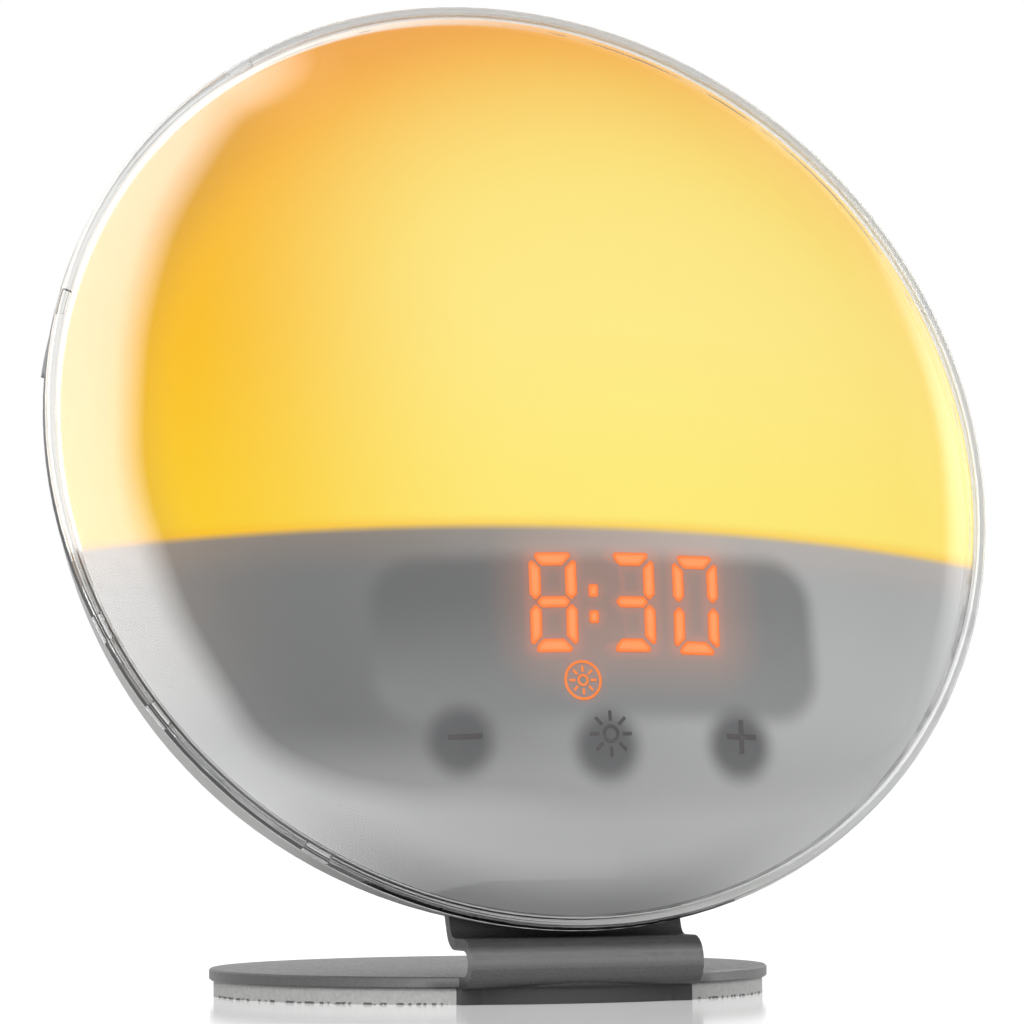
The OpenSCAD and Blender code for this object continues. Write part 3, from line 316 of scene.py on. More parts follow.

# %% [markdown]
# Under the stand lies a pad of pale foam rubber, full of small crumbs. Modelled crumbs would cost millions of
# faces, so a fine noise gives their colour and bump. Two places of painted shade are added by height and place: a
# broken painted contact shadow where the pad meets the table, and painted shade on the tongue under the stand's roll.

# %% Foot pad
BAND = 0.0436          # width of the bent sheet, in metres
pad_rubber = Finish("pad_rubber", (0.64, 0.64, 0.63), 0.75)
across, along, height = pad_rubber.room_fields()
crumb = pad_rubber.noise(1400, 3, 0.6)
pad_tone = pad_rubber.blend(crumb.ramp(0.3, 0.7), (0.56, 0.56, 0.55), (0.66, 0.66, 0.65))
# painted contact shadow: a broken dark line where the pad meets the table
painted_contact_shadow = height.ramp(0.00045, 0.0003) * pad_rubber.noise(900, 1).ramp(0.47, 0.56)
pad_tone = pad_rubber.blend(painted_contact_shadow * 0.85, pad_tone, (0.03, 0.03, 0.03))
# painted shade on the pad's tongue under the stand's roll
painted_roll_shade = along.ramp(-0.0385, -0.0415) * across.size().ramp(BAND / 2 + 0.0003, BAND / 2 + 0.0001)
pad_rubber.colour(pad_rubber.blend(painted_roll_shade, pad_tone, (0.055, 0.055, 0.057)))
pad_rubber.roughness(crumb.ramp(0.2, 0.8, 0.68, 0.8))
pad_rubber.bump(crumb, 0.00006)
dress(pad_rubber, "foot_pad")

# %% [markdown]
# The stand is one sheet of steel with a grey powder coat. The powder melts into a skin with a fine orange peel,
# which a bump of a small noise gives. The rolled front gets a painted highlight on its front, and painted shade in
# its groove and under its belly, where the room's light hardly comes. More lamps could show that from one side
# only, so three bands of painted light and shade, by height, are mixed into the coat's colour.

# %% Powder-coated steel
stand_grey = Finish("stand_grey", (0.15, 0.15, 0.152), 0.42, Metallic=0.35, Specular_IOR_Level=0.15)
peel = stand_grey.noise(1500, 2, 0.6)
fleck = stand_grey.noise(5200, 1, 0.5)
stand_grey.bump(peel, 0.00005)
across, along, height = stand_grey.room_fields()
powder = stand_grey.blend(fleck.ramp(0.35, 0.7), (0.135, 0.135, 0.137), (0.175, 0.175, 0.177))
# painted light on the roll, by height: a painted highlight on its front, painted shade in its groove and on its belly
on_roll = along.ramp(-0.0420, -0.0445)
for low, high, strength, tone in (
        (0.0060, 0.0080, 0.60, (0.30, 0.30, 0.302)),    # the front of the roll
        (0.0088, 0.0106, 0.88, (0.05, 0.05, 0.051)),    # the groove over it
        (0.0052, 0.0028, 0.75, (0.03, 0.03, 0.031))):   # its belly
    powder = stand_grey.blend(on_roll * height.ramp(low, high) * strength, powder, tone)
stand_grey.colour(powder)
stand_grey.roughness(peel.ramp(0.3, 0.7, 0.36, 0.5))
dress(stand_grey, "stand_band")

# %% [markdown]
# Screws, hinge and coin cell are turned or rolled steel, the washers are brass, and the speaker's frame is dark
# ferrite. The tool leaves fine lines on them. An anisotropic shader could show these, but a noise that is
# stretched along one direction also changes colour and gloss, and holds up close by.

# %% Bare metals
def metal(name, colour, roughness, lines=600):
    made = Finish(name, colour, roughness, Metallic=1.0)
    streak = made.noise(1.0, 3, 0.6, made.mapped(scale=(lines, lines * 6, lines)))
    made.colour(made.blend(streak.ramp(0.3, 0.7), tuple(c * 0.82 for c in colour), colour))
    made.roughness(streak.ramp(0.2, 0.8, roughness - 0.07, roughness + 0.1))
    made.bump(streak, 0.00001, 0.4)
    return made


dress(metal("steel", (0.6, 0.6, 0.61), 0.3),
      "hinge_bracket", "hinge_pin", "bracket_screws", "case_screws", "board_screws", "cell_cover_screw", "coin_cell")
dress(metal("brass", (0.62, 0.46, 0.17), 0.32), "friction_washer_left", "friction_washer_right")
dress(metal("ferrite", (0.12, 0.12, 0.125), 0.6), "speaker_magnet", "speaker_frame", "power_parts")

# %% [markdown]
# The boards inside are green lacquer, apart from the white one that throws the lamp's light forwards. Ribbons,
# the speaker's lead and its paper cone are plain materials too, so the plastic function serves again, with more
# wander where a real board or paper is blotchy.

# %% Boards, leads and paper
dress(plastic("board_green", (0.03, 0.17, 0.07), 0.38, 0.00001, 0.25, 500),
      "main_board", "panel_board", "side_switch_left", "side_switch_right", "rear_switches")
dress(plastic("board_white", (0.78, 0.78, 0.76), 0.4, 0.00001, 0.05, 500), "led_board")
dress(plastic("ribbon_white", (0.75, 0.75, 0.72), 0.55), "led_ribbon", "panel_ribbon")
dress(plastic("paper_black", (0.035, 0.034, 0.033), 0.85, 0.00005, 0.3, 700), "speaker_cone")
dress(plastic("lead_red", (0.45, 0.03, 0.02), 0.45), "speaker_lead")

# %% [markdown]
# The emitters are small yellow chips, and the display's own bars are orange resin. Both are hidden by the milky
# dome, which shows its own glow, so they need no strong light: a speckled colour is enough, and a faint glow on
# the emitters.

# %% Light emitters and digit bars
def speckled(name, colour, roughness, scale, dark, pale):
    made = Finish(name, colour, roughness)
    made.colour(made.blend(made.noise(scale, 2).ramp(0.3, 0.7), dark, pale))
    return made


emitter = speckled("emitter", (0.9, 0.75, 0.3), 0.3, 700, (0.85, 0.62, 0.15), (0.95, 0.85, 0.4))
emitter.glow((1.0, 0.6, 0.15), 0.6)
dress(emitter, "led_emitters")
dress(speckled("digit_bars", (0.75, 0.3, 0.1), 0.35, 900, (0.7, 0.26, 0.08), (0.8, 0.36, 0.14)), "display_segments")

# %% [markdown]
# The milky dome is what the eye sees. On the real clock, light and shadow of the pieces behind it spread inside
# the plastic. Cycles could trace that, slowly and with grain, and the exported model would lose it. So the
# spread light is written into the finish, in the head's millimetres, and sits on the real parts. Distances to
# simple outlines are all that it takes: a rounded box, a round spot, a digit's bars.

# %% Fields of the milky dome
milky = Finish("milky_dome", (0.2, 0.2, 0.2), 0.5, Specular_IOR_Level=0.0)
x, v = milky.head_fields()[:2]
rim_r = reach(x, v)


def outline_field(past_side, past_top):
    """Distance to a rectangle, less than 0 inside it, from the distances past its side and its top."""
    side, top = past_side.most(0.0), past_top.most(0.0)
    return reach(side, top) + past_side.most(past_top).least(0.0)


def box_field(cx, cv, wide, high, corner):
    """Distance in millimetres to a rounded rectangle of the face."""
    return outline_field((x - cx).size() - (wide / 2 - corner), (v - cv).size() - (high / 2 - corner)) - corner


def spot_field(cx, cv):
    """Distance in millimetres to a place of the face."""
    return reach(x - cx, v - cv)


print("the milky dome knows its places in millimetres")

# %% [markdown]
# The upper half glows: pale yellow in front of the emitters, amber where the light has come a long way through
# the plastic, brown at the far edge, and white on the flange, which lies in full light at the left. A colour
# ramp along the distance gives the main change, and soft masks lay the other tones over it.

# %% Glow of the upper half
SHINE = 1.06           # strength of everything that shines on the face
edge_line = v + x * 0.024 + 18.6       # distance over the tray's divider, in millimetres
lit = edge_line.ramp(-1.1, 0.7)
glow = milky.stops(
    spot_field(20.0, -6.0) / 100.0,
    (0.10, (1.0, 0.85, 0.265)), (0.42, (1.0, 0.82, 0.25)), (0.58, (0.99, 0.785, 0.225)),
    (0.66, (0.985, 0.735, 0.195)), (0.73, (0.975, 0.67, 0.17)), (0.80, (0.96, 0.59, 0.135)),
    (0.86, (0.95, 0.50, 0.105)), (0.92, (0.91, 0.42, 0.09)), (1.0, (0.86, 0.37, 0.10)))
amber_side = (x * -1.0).ramp(5.0, 75.0) * v.ramp(15.0, 80.0, 0.92, 0.5)
glow = milky.blend(amber_side, glow, (0.96, 0.53, 0.008))
low_side = v.ramp(28.0, -22.0) * 0.33
glow = milky.blend(low_side, glow, (0.995, 0.79, 0.05))
thin_edge = edge_line.ramp(2.6, -0.4) * 0.45
glow = milky.blend(thin_edge, glow, (0.93, 0.42, 0.03))
far_side = rim_r.ramp(66.0, 80.0) * x.ramp(-30.0, -62.0) * 0.5
glow = milky.blend(far_side, glow, (0.42, 0.2, 0.03))
white_flange = rim_r.ramp(85.4, 86.2) * x.ramp(25.0, -35.0, 0.15, 1.0)
glow = milky.blend(white_flange, glow, (1.0, 0.95, 0.88))
print("glow: from pale yellow inside to amber at the rim")

# %% [markdown]
# Under the divider no light falls, and the same plastic is a quiet grey, with painted light that makes it paler to
# the right, where the room is bright, and paler low down, and painted shade near the lower rim. The display's dark
# case and the three touch pads lie close behind it, and their shade is painted in as soft shapes. They
# could be seen through real translucency; soft-edged masks over the real pieces' places stay clean of grain.

# %% Grey of the lower half, with the dark case and the pads behind it
TOUCH_PADS = ((-21.6, -56.2), (5.4, -57.8), (31.2, -57.3))
case = box_field(5.6, -38.2, 84.0, 28.8, 8.5).ramp(2.2, -2.2)
near_pad = spot_field(*TOUCH_PADS[0])
for pad in TOUCH_PADS[1:]:
    near_pad = near_pad.least(spot_field(*pad))
pads = near_pad.ramp(8.2, 3.4) * 0.93

side_light = x.ramp(-48.0, 52.0) * v.ramp(-18.0, -50.0, 0.75, 1.0)
pale = milky.blend(side_light, (0.285, 0.285, 0.286), (0.72, 0.72, 0.725))
# painted light makes the grey paler low on the dome; painted shade darkens it near the lower rim
foot_light = v.ramp(-50.0, -67.0) * 0.7
pale = milky.blend(foot_light, pale, (0.57, 0.57, 0.568))
painted_rim_shade = rim_r.ramp(76.0, 87.0) * v.ramp(-50.0, -70.0) * x.ramp(-60.0, -25.0) * x.ramp(45.0, 5.0) * 0.9
pale = milky.blend(painted_rim_shade, pale, (0.15, 0.15, 0.15))
# painted shade of the case behind, made paler to the right and low down by painted light
case_tone = milky.blend(x.ramp(-35.0, 50.0), (0.24, 0.24, 0.243), (0.345, 0.345, 0.348))
case_tone = milky.blend(v.ramp(-28.0, -53.0) * 0.55, case_tone, (0.5, 0.5, 0.503))
grey = milky.blend(case, pale, case_tone)
grey = milky.blend(pads, grey, (0.205, 0.205, 0.21))
print("grey: one case and", len(TOUCH_PADS), "pads show through")

# %% [markdown]
# Lit digits spill light into the plastic round them: a tight halo along each bar, and a broad, faint glow over
# the whole display. A blur after the render would spread it over everything, and only in the picture. Here the
# halo follows the distance to the same lines that the digits' bars are set on later.

# %% Light of the digits in the milky plastic
EIGHT, THREE, ZERO, DOTS = -2.94, 11.95, 24.4, 4.6     # middles of the digits and dots, in millimetres across
LEAN = 0.054           # how much the digits lean to the right
SPILL_V = -32.4        # height of the middle of their spilled light
SUN_AT = (1.48, -46.3)


def digit_field(cx, wide=6.7, high=15.4):
    """Distance to the line along which a digit's outer bars lie."""
    up = v - SPILL_V
    return outline_field((x - up * LEAN - cx).size() - wide / 2, up.size() - high / 2).size()


def middle_field(cx):
    """Distance to a digit's middle bar."""
    return ((x - cx).size() - 2.3).most(0.0) + (v - SPILL_V).size()


open_left = (x - 11.0).ramp(-0.5, -2.5) * (v - SPILL_V).size().ramp(8.0, 5.5) * 5.0     # the 3 has no left bars
near_bars = digit_field(THREE) + open_left
for field in (digit_field(EIGHT), digit_field(ZERO), middle_field(EIGHT), middle_field(THREE),
              spot_field(DOTS, -30.4), spot_field(DOTS - 0.15, -35.1)):
    near_bars = near_bars.least(field)
ring_light = (spot_field(1.5, -46.3) - 2.6).size().ramp(2.6, 0.4) * 0.07
halo = near_bars.ramp(3.0, 0.9) * 0.13 + ring_light
broad = box_field(11.2, -33.0, 38, 18, 4).ramp(9.0, -3.0) * 0.155
under_glow = edge_line.ramp(-9.0, -0.5) * 0.06 + x.ramp(-48.0, -72.0) * edge_line.ramp(-40.0, -2.0) * 0.04
warm = milky.blend(broad, (0.0, 0.0, 0.0), (1.0, 0.30, 0.08))
warm = milky.blend(halo, warm, (1.0, 0.12, 0.015))
warm = milky.blend(under_glow, warm, (1.0, 0.45, 0.06))
milky.colour(milky.blend(lit, grey, (0.05, 0.03, 0.008)))
milky.glow(milky.blend(lit, warm, glow), SHINE)
milky.roughness(milky.noise(300, 2).ramp(0.2, 0.8, 0.45, 0.55))
print("the digits' light spills", 9.0, "mm round the display")

# %% [markdown]
# The clear dome over it is moulded in one piece with its rim. Glass shaders stop a lamp's light, and tracing
# the caustics behind them is slow, so for the rays that carry light the shell is simply open: the usual trick
# for clear shells. Its rim is blended with a pale frost at the right and the top, where the real one is milky
# with light from inside.

# %% Clear dome
clear = Finish("clear_dome", (0.98, 0.99, 0.99), 0.02, Transmission_Weight=1.0, IOR=1.49)
frost = clear.graph.new("ShaderNodeBsdfPrincipled")
frost.inputs["Base Color"].default_value = (0.74, 0.75, 0.745, 1)
frost.inputs["Roughness"].default_value = 0.35
across, up, out = clear.head_fields()
frosted_rim = reach(across, up).ramp(86.7, 87.3) * (across + up * 0.5).ramp(-25.0, 30.0)
frosted = clear.mixed(frosted_rim * clear.noise(60, 2).ramp(0.3, 0.7, 0.55, 0.66),
                      clear.shader.outputs[0], frost.outputs[0])
rays = clear.graph.new("ShaderNodeLightPath").outputs
light_rays = Field(clear.graph, rays["Is Shadow Ray"]).most(Field(clear.graph, rays["Is Diffuse Ray"]))
open_glass = clear.graph.new("ShaderNodeBsdfTransparent").outputs[0]
clear.link(clear.mixed(light_rays, frosted, open_glass), clear.output.inputs["Surface"])
print("clear dome: index of refraction", 1.49)

# %% [markdown]
# Both domes come from the engineers as many flat triangles, and clear, glossy plastic shows every one of them.
# The domes could be modelled anew, with the risk of a slightly different shape. A copy with its doubles merged
# and its normals smoothed keeps the shape and loses the facets, and true edges, over 22 degrees, stay sharp.

# %% Smooth domes
def only(item):
    """Leaves edit mode and selects nothing but this object."""
    if bpy.context.object and bpy.context.object.mode != "OBJECT":
        bpy.ops.object.mode_set(mode="OBJECT")
    bpy.ops.object.select_all(action="DESELECT")
    item.select_set(True)
    bpy.context.view_layer.objects.active = item


def copy_of(item):
    twin = item.copy()
    twin.data = item.data.copy()
    bpy.context.scene.collection.objects.link(twin)
    return twin


def smooth_twin(node, name, finish):
    """A dome that stands for an engineered one: the same shape, with its skin shaded as one smooth curve."""
    dome = copy_of(nodes[node])
    dome.name = name
    only(dome)
    bpy.ops.mesh.customdata_custom_splitnormals_clear()
    bpy.ops.object.mode_set(mode="EDIT")
    bpy.ops.mesh.select_all(action="SELECT")
    bpy.ops.mesh.remove_doubles(threshold=0.000002)
    bpy.ops.object.mode_set(mode="OBJECT")
    bpy.ops.object.shade_smooth_by_angle(angle=math.radians(22))
    dome.data.materials.clear()
    dome.data.materials.append(finish.material)
    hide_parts(node)
    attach(dome, "head")
    print(name, len(dome.data.polygons), "faces")


smooth_twin("front_lens", "clear_dome", clear)
smooth_twin("diffuser", "milky_dome", milky)

# %% [markdown]
# The digits are bars of light on the milky dome, and the three touch signs are printed there. Text or a flat
# curve would be quick, but no typeface has these bars. So each shape starts as a flat grid and is cut to its
# outline with the bisect tool. The grid's small faces matter: one big face would cut through the dome's curve.

# %% Flat shapes
def flat_bar(name, wide, high, step=0.6):
    """A flat grid, wide by high millimetres, centred on the origin. Here one unit is one millimetre."""
    bpy.ops.object.select_all(action="DESELECT")
    bpy.ops.mesh.primitive_grid_add(
        x_subdivisions=max(2, round(wide / step)), y_subdivisions=max(2, round(high / step)), size=1)
    bar = bpy.context.object
    bar.name = name
    bar.scale = (wide, high, 1)
    bpy.ops.object.transform_apply(location=False, rotation=False, scale=True)
    return bar


def cut_out(name, corners, step=0.42):
    """A flat piece with these corners, given clockwise: a grid that is cut along each side."""
    wide = 2 * max(abs(across) for across, up in corners)
    high = 2 * max(abs(up) for across, up in corners)
    piece = flat_bar(name, wide, high, step)
    only(piece)
    bpy.ops.object.mode_set(mode="EDIT")
    for (ax, ay), (bx, by) in zip(corners, corners[1:] + corners[:1]):
        bpy.ops.mesh.select_all(action="SELECT")
        bpy.ops.mesh.bisect(plane_co=(ax, ay, 0), plane_no=(ay - by, bx - ax, 0), clear_outer=True)
    bpy.ops.object.mode_set(mode="OBJECT")
    return piece


def flat_ring(name, outer, inner, steps=48):
    """A flat ring: a circle, whose edge is extruded and drawn inwards."""
    bpy.ops.object.select_all(action="DESELECT")
    bpy.ops.mesh.primitive_circle_add(vertices=steps, radius=outer)
    ring = bpy.context.object
    ring.name = name
    bpy.ops.object.mode_set(mode="EDIT")
    bpy.ops.mesh.select_all(action="SELECT")
    bpy.ops.mesh.extrude_edges_move()
    bpy.ops.transform.resize(value=(inner / outer, inner / outer, 1))
    bpy.ops.object.mode_set(mode="OBJECT")
    return ring


def move(item, dx=0.0, dy=0.0, turn=0.0, mirror=(1, 1)):
    """Turns, mirrors and moves a flat shape, and applies that to its mesh."""
    item.matrix_world = (Matrix.Translation((dx, dy, 0)) @ Matrix.Rotation(math.radians(turn), 4, "Z")
                         @ Matrix.Diagonal((*mirror, 1, 1)))
    only(item)
    bpy.ops.object.transform_apply(location=True, rotation=True, scale=True)
    return item


def joined(name, parts):
    only(parts[0])
    for part in parts:
        part.select_set(True)
    bpy.ops.object.join()
    parts[0].name = name
    return parts[0]


print("helpers for flat shapes are ready")

# %% [markdown]
# A flat shape becomes a piece of the clock in three steps. Each point notes how deep it lies inside the outline,
# which later softens a lit bar's edge. Solidify gives the thickness. Then every point is lifted onto the dome:
# a Shrinkwrap modifier could do that too, but the dome is a ball, so its height is a plain sum.

# %% Laying a flat shape on the dome
def depth_inside(here, sides):
    """Distance from a point to the nearest side, at most 9."""
    nearest = 9.0
    for a, b in sides:
        span = b - a
        share = max(0.0, min(1.0, (here - a).dot(span) / max(span.length_squared, 1e-9)))
        nearest = min(nearest, (here - a - span * share).length)
    return nearest


def on_dome(item, lift, thick):
    """Marks how deep each point lies inside its outline, thickens the shape, and lays it on the milky dome."""
    only(item)
    bpy.ops.object.mode_set(mode="EDIT")
    bpy.ops.mesh.select_all(action="SELECT")
    bpy.ops.mesh.remove_doubles(threshold=0.001)
    bpy.ops.mesh.normals_make_consistent(inside=False)
    bpy.ops.object.mode_set(mode="OBJECT")
    mesh = item.data
    if sum(face.normal.z for face in mesh.polygons) < 0:
        mesh.flip_normals()
    uses = {}
    for face in mesh.polygons:
        for key in face.edge_keys:
            uses[key] = uses.get(key, 0) + 1
    sides = [(mesh.vertices[a].co.xy, mesh.vertices[b].co.xy) for (a, b), count in uses.items() if count == 1]
    inner = mesh.attributes.new("inner", "FLOAT", "POINT")
    for point in mesh.vertices:
        inner.data[point.index].value = depth_inside(point.co.xy, sides)
    thicken = item.modifiers.new("thick", "SOLIDIFY")
    thicken.thickness, thicken.offset = thick, 1.0
    bpy.ops.object.modifier_apply(modifier=thicken.name)
    for point in mesh.vertices:
        across, up, out = point.co
        point.co = on_head(across, up, dome_n(across, up) + lift + out)
    mesh.update()
    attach(item, "head")
    print(item.name, len(mesh.polygons), "faces")


# %% [markdown]
# On such displays a digit has seven bars: long ones with chamfered ends above and below, side ones with pointed
# inner ends, and a slim one in the middle. Each kind is cut once and copied, and mirrored copies serve for the
# other side, so that all digits are alike.

# %% Bars of a digit
WIDE, HIGH = 8.9, 17.9         # size of a digit, in millimetres
long_bar = cut_out("long_bar", [
    (-2.9, 1.2), (2.9, 1.2), (3.25, 1.0), (3.4, 0.6), (3.25, 0.25), (2.1, -1.2), (-2.1, -1.2), (-3.25, 0.25),
    (-3.4, 0.6), (-3.25, 1.0)])
middle_bar = cut_out("middle_bar", [
    (-2.3, 1.0), (2.3, 1.0), (3.0, 0.2), (3.0, -0.2), (2.3, -1.0), (-2.3, -1.0), (-3.0, -0.2), (-3.0, 0.2)])
side_bar = cut_out("side_bar", [
    (-1.08, 2.1), (0.18, 3.52), (0.55, 3.52), (0.92, 3.3), (1.08, 2.95), (1.08, -2.55), (0.2, -3.5), (-0.2, -3.5),
    (-1.08, -2.6)])
print("size of a digit in mm:", WIDE, HIGH)

# %% [markdown]
# The time is set by naming each digit's bars with the letters a to g, from the top clockwise and the middle
# last, as engineers do. Slanted copies would each need their own shear, so the digits are joined upright and
# their points are then moved sideways by their height, which leans them all alike.

# %% Lit digits
DIGIT_V = -32.24               # height of the digits' middle on the face


def digit(letters, cx, low=0.15):
    """Sets the named bars round the middle cx, low millimetres down."""
    side, up, end = WIDE / 2 - 1.08, 4.0, HIGH / 2 - 1.2
    kit = {
        "a": (long_bar, 0, end, (1, 1)), "d": (long_bar, 0, -end, (1, -1)), "g": (middle_bar, 0, 0, (1, 1)),
        "b": (side_bar, side, up, (1, 1)), "c": (side_bar, side, -up, (1, -1)),
        "f": (side_bar, -side, up, (-1, 1)), "e": (side_bar, -side, -up, (-1, -1))}
    placed = []
    for letter in letters:
        shape, dx, dy, mirror = kit[letter]
        placed.append(move(copy_of(shape), cx + dx, dy - low, 0, mirror))
    return placed


parts = digit("abcdefg", EIGHT) + digit("abcdg", THREE) + digit("abcdef", ZERO, 0.45)
for dy in (1.85, -2.85):
    dot = cut_out("dot", [
        (-0.6, 1.15), (0.6, 1.15), (0.9, 0.85), (0.9, -0.85), (0.6, -1.15), (-0.6, -1.15), (-0.9, -0.85),
        (-0.9, 0.85)])
    parts.append(move(dot, DOTS, dy))
digits = joined("lit_digits", parts)
for point in digits.data.vertices:
    point.co.x += LEAN * point.co.y
    point.co.y += DIGIT_V
on_dome(digits, 0.02, 0.06)
for spare in (long_bar, middle_bar, side_bar):
    bpy.data.objects.remove(spare)

# %% [markdown]
# The alarm sign under the digits is a small sun in a ring, lit like them. The touch key in the middle has a
# larger sun in dark ink, and its neighbours a minus and a plus. A sun is a ring and eight rays: one ray is
# moved out from the middle once, and turned in steps of 45 degrees.

# %% Sun signs, minus and plus
def sun(name, ring_outer, ring_inner, ray_from, ray_to, ray_w, place, extra=()):
    parts = [flat_ring("ring", ring_outer, ring_inner), *extra]
    for turn in range(0, 360, 45):
        ray = flat_bar("ray", ray_to - ray_from, ray_w, 0.3)
        move(ray, (ray_from + ray_to) / 2)
        parts.append(move(ray, turn=turn))
    return move(joined(name, parts), *place)


icon = sun("lit_sun", 1.05, 0.65, 1.45, 2.5, 0.4, SUN_AT, [flat_ring("rim", 3.5, 3.05, 72)])
sun_sign = sun("sun_sign", 1.6, 1.0, 2.2, 4.0, 0.62, (6.16, -55.61))
minus_sign = move(flat_bar("minus_sign", 6.3, 0.9), -20.8, -55.56)
plus_sign = move(joined("plus_sign", [flat_bar("a", 5.8, 0.88), flat_bar("b", 0.88, 5.8)]), 31.65, -55.73)
printed_signs = (sun_sign, minus_sign, plus_sign)
on_dome(icon, 0.02, 0.08)
for sign in printed_signs:
    on_dome(sign, 0.015, 0.03)

# %% [markdown]
# A lit bar is paler in its middle than at its edge, because the plastic over it spreads the light. The depth
# that each point noted earlier drives that blend, so it follows the outline of every bar. The touch signs are
# plain ink.

# %% Light of the digits and ink of the signs
def lit_bars(name, core, edge, full_depth):
    made = Finish(name, (0.05, 0.02, 0.01), 0.4)
    colour = made.blend(made.marked("inner").ramp(0.0, full_depth), edge, core)
    made.glow(made.blend(made.noise(900, 1).ramp(0.2, 0.8) * 0.1, colour, edge), SHINE)
    return made.material


digits.data.materials.append(lit_bars("digit_light", (1.0, 0.345, 0.12), (1.0, 0.2, 0.035), 0.9))
icon.data.materials.append(lit_bars("icon_light", (1.0, 0.28, 0.06), (1.0, 0.24, 0.045), 0.2))
ink = plastic("sign_ink", (0.11, 0.10, 0.102), 0.6, 0.000005, 0.1, 2000)
for sign in printed_signs:
    sign.data.materials.append(ink.material)
print("light on 2 pieces, ink on", len(printed_signs))

# %% [markdown]
# The clock stands on a pale, slightly glossy floor that fades into a white world. Pouring light on the floor
# until it is white would burn the clock out too. So what the camera and clear plastic see is lifted by a plain
# glow, and lamps and world stay at a level at which colours look as they are written. A mirror sees the floor
# as one even glow.

# %% Floor and world
FLOOR_GLOW = 0.32      # added to the floor where it is seen
MIRROR_FLOOR = 0.9     # brightness of the floor in a mirror
FILL = 0.35            # the world's light on things; where it is seen, it is 1

bpy.ops.object.select_all(action="DESELECT")
bpy.ops.mesh.primitive_plane_add(size=30, location=(0, 0, 0))
floor = bpy.context.object
floor.name = "floor"


def seen_rays(graph):
    """1 for what the camera, a mirror or clear plastic sees, and 0 for light that falls on things."""
    rays = graph.new("ShaderNodeLightPath").outputs
    camera_ray, glossy_ray, clear_ray = (
        Field(graph, rays[f"Is {kind} Ray"]) for kind in ("Camera", "Glossy", "Transmission"))
    return camera_ray.most(glossy_ray).most(clear_ray)


pale_floor = Finish("pale_floor", (0.4, 0.4, 0.4), 0.1, IOR=1.3)
pale_floor.colour(pale_floor.blend(pale_floor.noise(4, 2).ramp(0.3, 0.7), (0.39, 0.39, 0.39), (0.41, 0.41, 0.41)))
pale_floor.glow((1.0, 1.0, 1.0), seen_rays(pale_floor.graph) * FLOOR_GLOW)
even_glow = pale_floor.graph.new("ShaderNodeEmission")
even_glow.inputs["Strength"].default_value = MIRROR_FLOOR
glossy_rays = pale_floor.graph.new("ShaderNodeLightPath").outputs["Is Glossy Ray"]
pale_floor.link(pale_floor.mixed(glossy_rays, pale_floor.shader.outputs[0], even_glow.outputs[0]),
                pale_floor.output.inputs["Surface"])
floor.data.materials.append(pale_floor.material)

world = bpy.data.worlds.new("studio")
bpy.context.scene.world = world
world.use_nodes = True
sky = world.node_tree
sky.links.new((seen_rays(sky.nodes) * (1 - FILL) + FILL).socket, sky.nodes["Background"].inputs[1])
sky.nodes["Background"].inputs[0].default_value = (1, 1, 1, 1)
print("floor glow", FLOOR_GLOW, "and fill light", FILL)

# %% [markdown]
# Three soft lamps light the clock: a tall one at the left, a narrow one at the right, and one behind and above
# that draws the rim. Large areas give the soft shadows of a light tent. Their mirror images are switched off,
# because the dome would show them as hard rectangles: the boards below take care of what is mirrored.

# %% Lamps
MIDDLE = Vector((0, -0.03, 0.095))     # the middle of the clock, which everything looks at


def way(azimuth, elevation, distance=1.0):
    """A direction from the clock: azimuth to the right of straight ahead of it, elevation over the table."""
    a, e = math.radians(azimuth), math.radians(elevation)
    return Vector((math.sin(a) * math.cos(e), -math.cos(a) * math.cos(e), math.sin(e))) * distance


def lamp(name, azimuth, elevation, distance, wide, high, radiance):
    data = bpy.data.lights.new(name, "AREA")
    data.shape, data.size, data.size_y = "RECTANGLE", wide, high
    data.energy = radiance * math.pi * wide * high
    item = bpy.data.objects.new(name, data)
    turn = way(azimuth, elevation).to_track_quat("Z", "Y").to_matrix().to_4x4()
    item.matrix_world = Matrix.Translation(MIDDLE + way(azimuth, elevation, distance)) @ turn
    item.visible_glossy = item.visible_transmission = False
    bpy.context.scene.collection.objects.link(item)
    print(name, "radiance", radiance, "size", wide, high)


lamp("left_lamp", -50, 42, 1.5, 1.0, 1.2, 3.2)
lamp("right_lamp", 75, 30, 1.5, 0.6, 0.9, 3.0)
lamp("top_lamp", 160, 65, 1.4, 0.8, 0.6, 3.0)

# %% [markdown]
# The pale crescent on the dome is the mirror image of white boards round the clock, with an unlit room between
# them. Flat boards would give a straight edge, so these are curved strips far away. Only mirrors see them, so
# they add gloss and no light. Each strip starts faint, at its edge, and grows brighter away from the dark
# room's middle, which gives the crescent its soft inner side.

# %% White boards
DARK_MIDDLE = way(25, 40)
BOARD_FAR, ROOM_FAR = 6.0, 6.4         # distances of the boards and of the dark room behind them
SPREAD = ((0, 0), (1.2, 0.36), (3.0, 0.84), (6, 0.95), (14, 1.0), (34, 1.0))    # degrees and brightness


def grid(name, columns, rows):
    """A flat grid of size 2, whose points are then moved to where they belong."""
    bpy.ops.object.select_all(action="DESELECT")
    bpy.ops.mesh.primitive_grid_add(x_subdivisions=columns, y_subdivisions=rows, size=2)
    sheet = bpy.context.object
    sheet.name = name
    return sheet


def line_of(place, lines):
    """On which line of such a grid a point lies, from 0 on."""
    return round((place + 1) / 2 * lines)


def swung(start, angle, far):
    """A place that is far away, from start turned by an angle away from the dark room's middle."""
    axis = DARK_MIDDLE.cross(start).normalized()
    return MIDDLE + Matrix.Rotation(angle, 3, axis) @ start * far


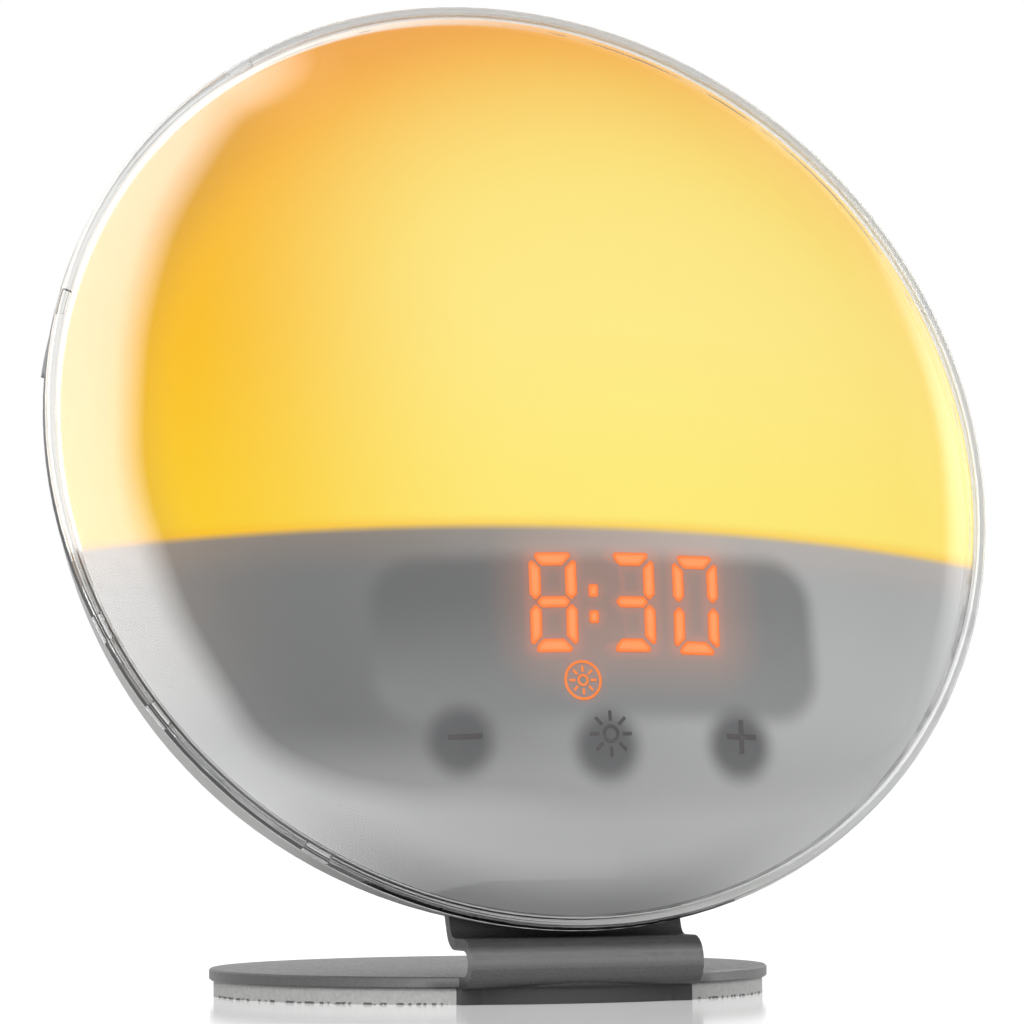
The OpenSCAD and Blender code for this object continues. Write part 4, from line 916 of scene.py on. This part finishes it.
def board(name, edge):
    """A strip that follows edge, a list of azimuth, elevation and brightness."""
    strip = grid(name, len(edge) - 1, len(SPREAD) - 1)
    glow = strip.data.attributes.new("glow", "FLOAT", "POINT")
    for point in strip.data.vertices:
        azimuth, elevation, level = edge[line_of(point.co.x, len(edge) - 1)]
        turn, share = SPREAD[line_of(point.co.y, len(SPREAD) - 1)]
        point.co = swung(way(azimuth, elevation), math.radians(turn), BOARD_FAR)
        glow.data[point.index].value = level * share
    made = Finish(name, (0, 0, 0), 1.0)
    made.glow((1.0, 1.0, 1.0), made.marked("glow"))
    strip.data.materials.append(made.material)
    strip.visible_camera = strip.visible_diffuse = strip.visible_shadow = strip.visible_volume_scatter = False
    print(name, "with", len(strip.data.vertices), "points")


def rounded(edge):
    """The same line of directions with its corners cut twice."""
    for again in range(2):
        cut = [tuple((3 * i + j) / 4 for i, j in zip(a, b)) for a, b in zip(edge, edge[1:])]
        back = [tuple((i + 3 * j) / 4 for i, j in zip(a, b)) for a, b in zip(edge, edge[1:])]
        edge = edge[:1] + [point for pair in zip(cut, back) for point in pair] + edge[-1:]
    return edge


left_edge = rounded([
    (70, 81, 0.4), (48, 79, 1.4), (30, 77.2, 3.2), (15, 76.2, 5), (-1.3, 74.9, 6.6), (-16.4, 66.1, 7.4),
    (-21.3, 55.3, 7.5), (-21.9, 45.1, 7.6), (-21.4, 37.3, 7.6), (-18.5, 29.7, 7.4), (-16.3, 24.1, 7.0),
    (-12.9, 18.5, 6.2), (-9.6, 12.9, 5.0), (-3.4, 9.6, 3.6), (4.9, 8.0, 2.4), (12.5, 8.2, 1.7), (24.1, 6.5, 1.2)])
right_edge = rounded([
    (93, 54, 1.0), (89.5, 51.5, 3), (87.5, 49.6, 5), (87, 43.7, 6), (82.4, 38.5, 6.3), (78.1, 33.5, 6.5),
    (73.6, 28.7, 6.5), (70.1, 25, 6.3), (66.8, 21.2, 6), (63.3, 17.4, 5), (59.6, 13.5, 3.6), (55.4, 9.4, 2),
    (50, 7.5, 1.0)])
board("left_board", left_edge)
board("right_board", right_edge)

# %% [markdown]
# The middle of the dome has to stay clear, with no white world mirrored in it. A black world would do that and
# spoil the background, so a dark patch hangs between the boards, seen by mirrors alone. It is a fan of spokes
# from its middle to the boards' edges, and fades out just behind them.

# %% Dark room
SHARES = (0.0, 0.5, 0.9, 1.0, 1.08)            # rings of the patch, as shares of the way to the boards
DARKNESS = (1.0, 1.0, 1.0, 0.75, 0.0)          # how dark each ring is
OVER_THE_TOP = ((97, 60), (97, 68), (92, 75), (82, 79))

loop = [way(a, e) for a, e, level in left_edge] + [way(37, 6.5)]
loop += [way(a, e) for a, e, level in reversed(right_edge)] + [way(a, e) for a, e in OVER_THE_TOP]
dark_room = grid("dark_room", len(loop), len(SHARES) - 1)
dark = dark_room.data.attributes.new("dark", "FLOAT", "POINT")
for point in dark_room.data.vertices:
    spoke = loop[line_of(point.co.x, len(loop)) % len(loop)]
    ring = line_of(point.co.y, len(SHARES) - 1)
    axis = DARK_MIDDLE.cross(spoke).normalized()
    turn = Matrix.Rotation(DARK_MIDDLE.angle(spoke) * SHARES[ring], 3, axis)
    point.co = MIDDLE + turn @ DARK_MIDDLE * ROOM_FAR
    dark.data[point.index].value = DARKNESS[ring]
unlit = Finish("unlit_room", (0, 0, 0), 1.0, Specular_IOR_Level=0.0)
unlit.link(unlit.marked("dark"), unlit.shader.inputs["Alpha"])
dark_room.data.materials.append(unlit.material)
dark_room.visible_camera = dark_room.visible_diffuse = dark_room.visible_shadow = False
print("dark room with", len(loop), "corners")
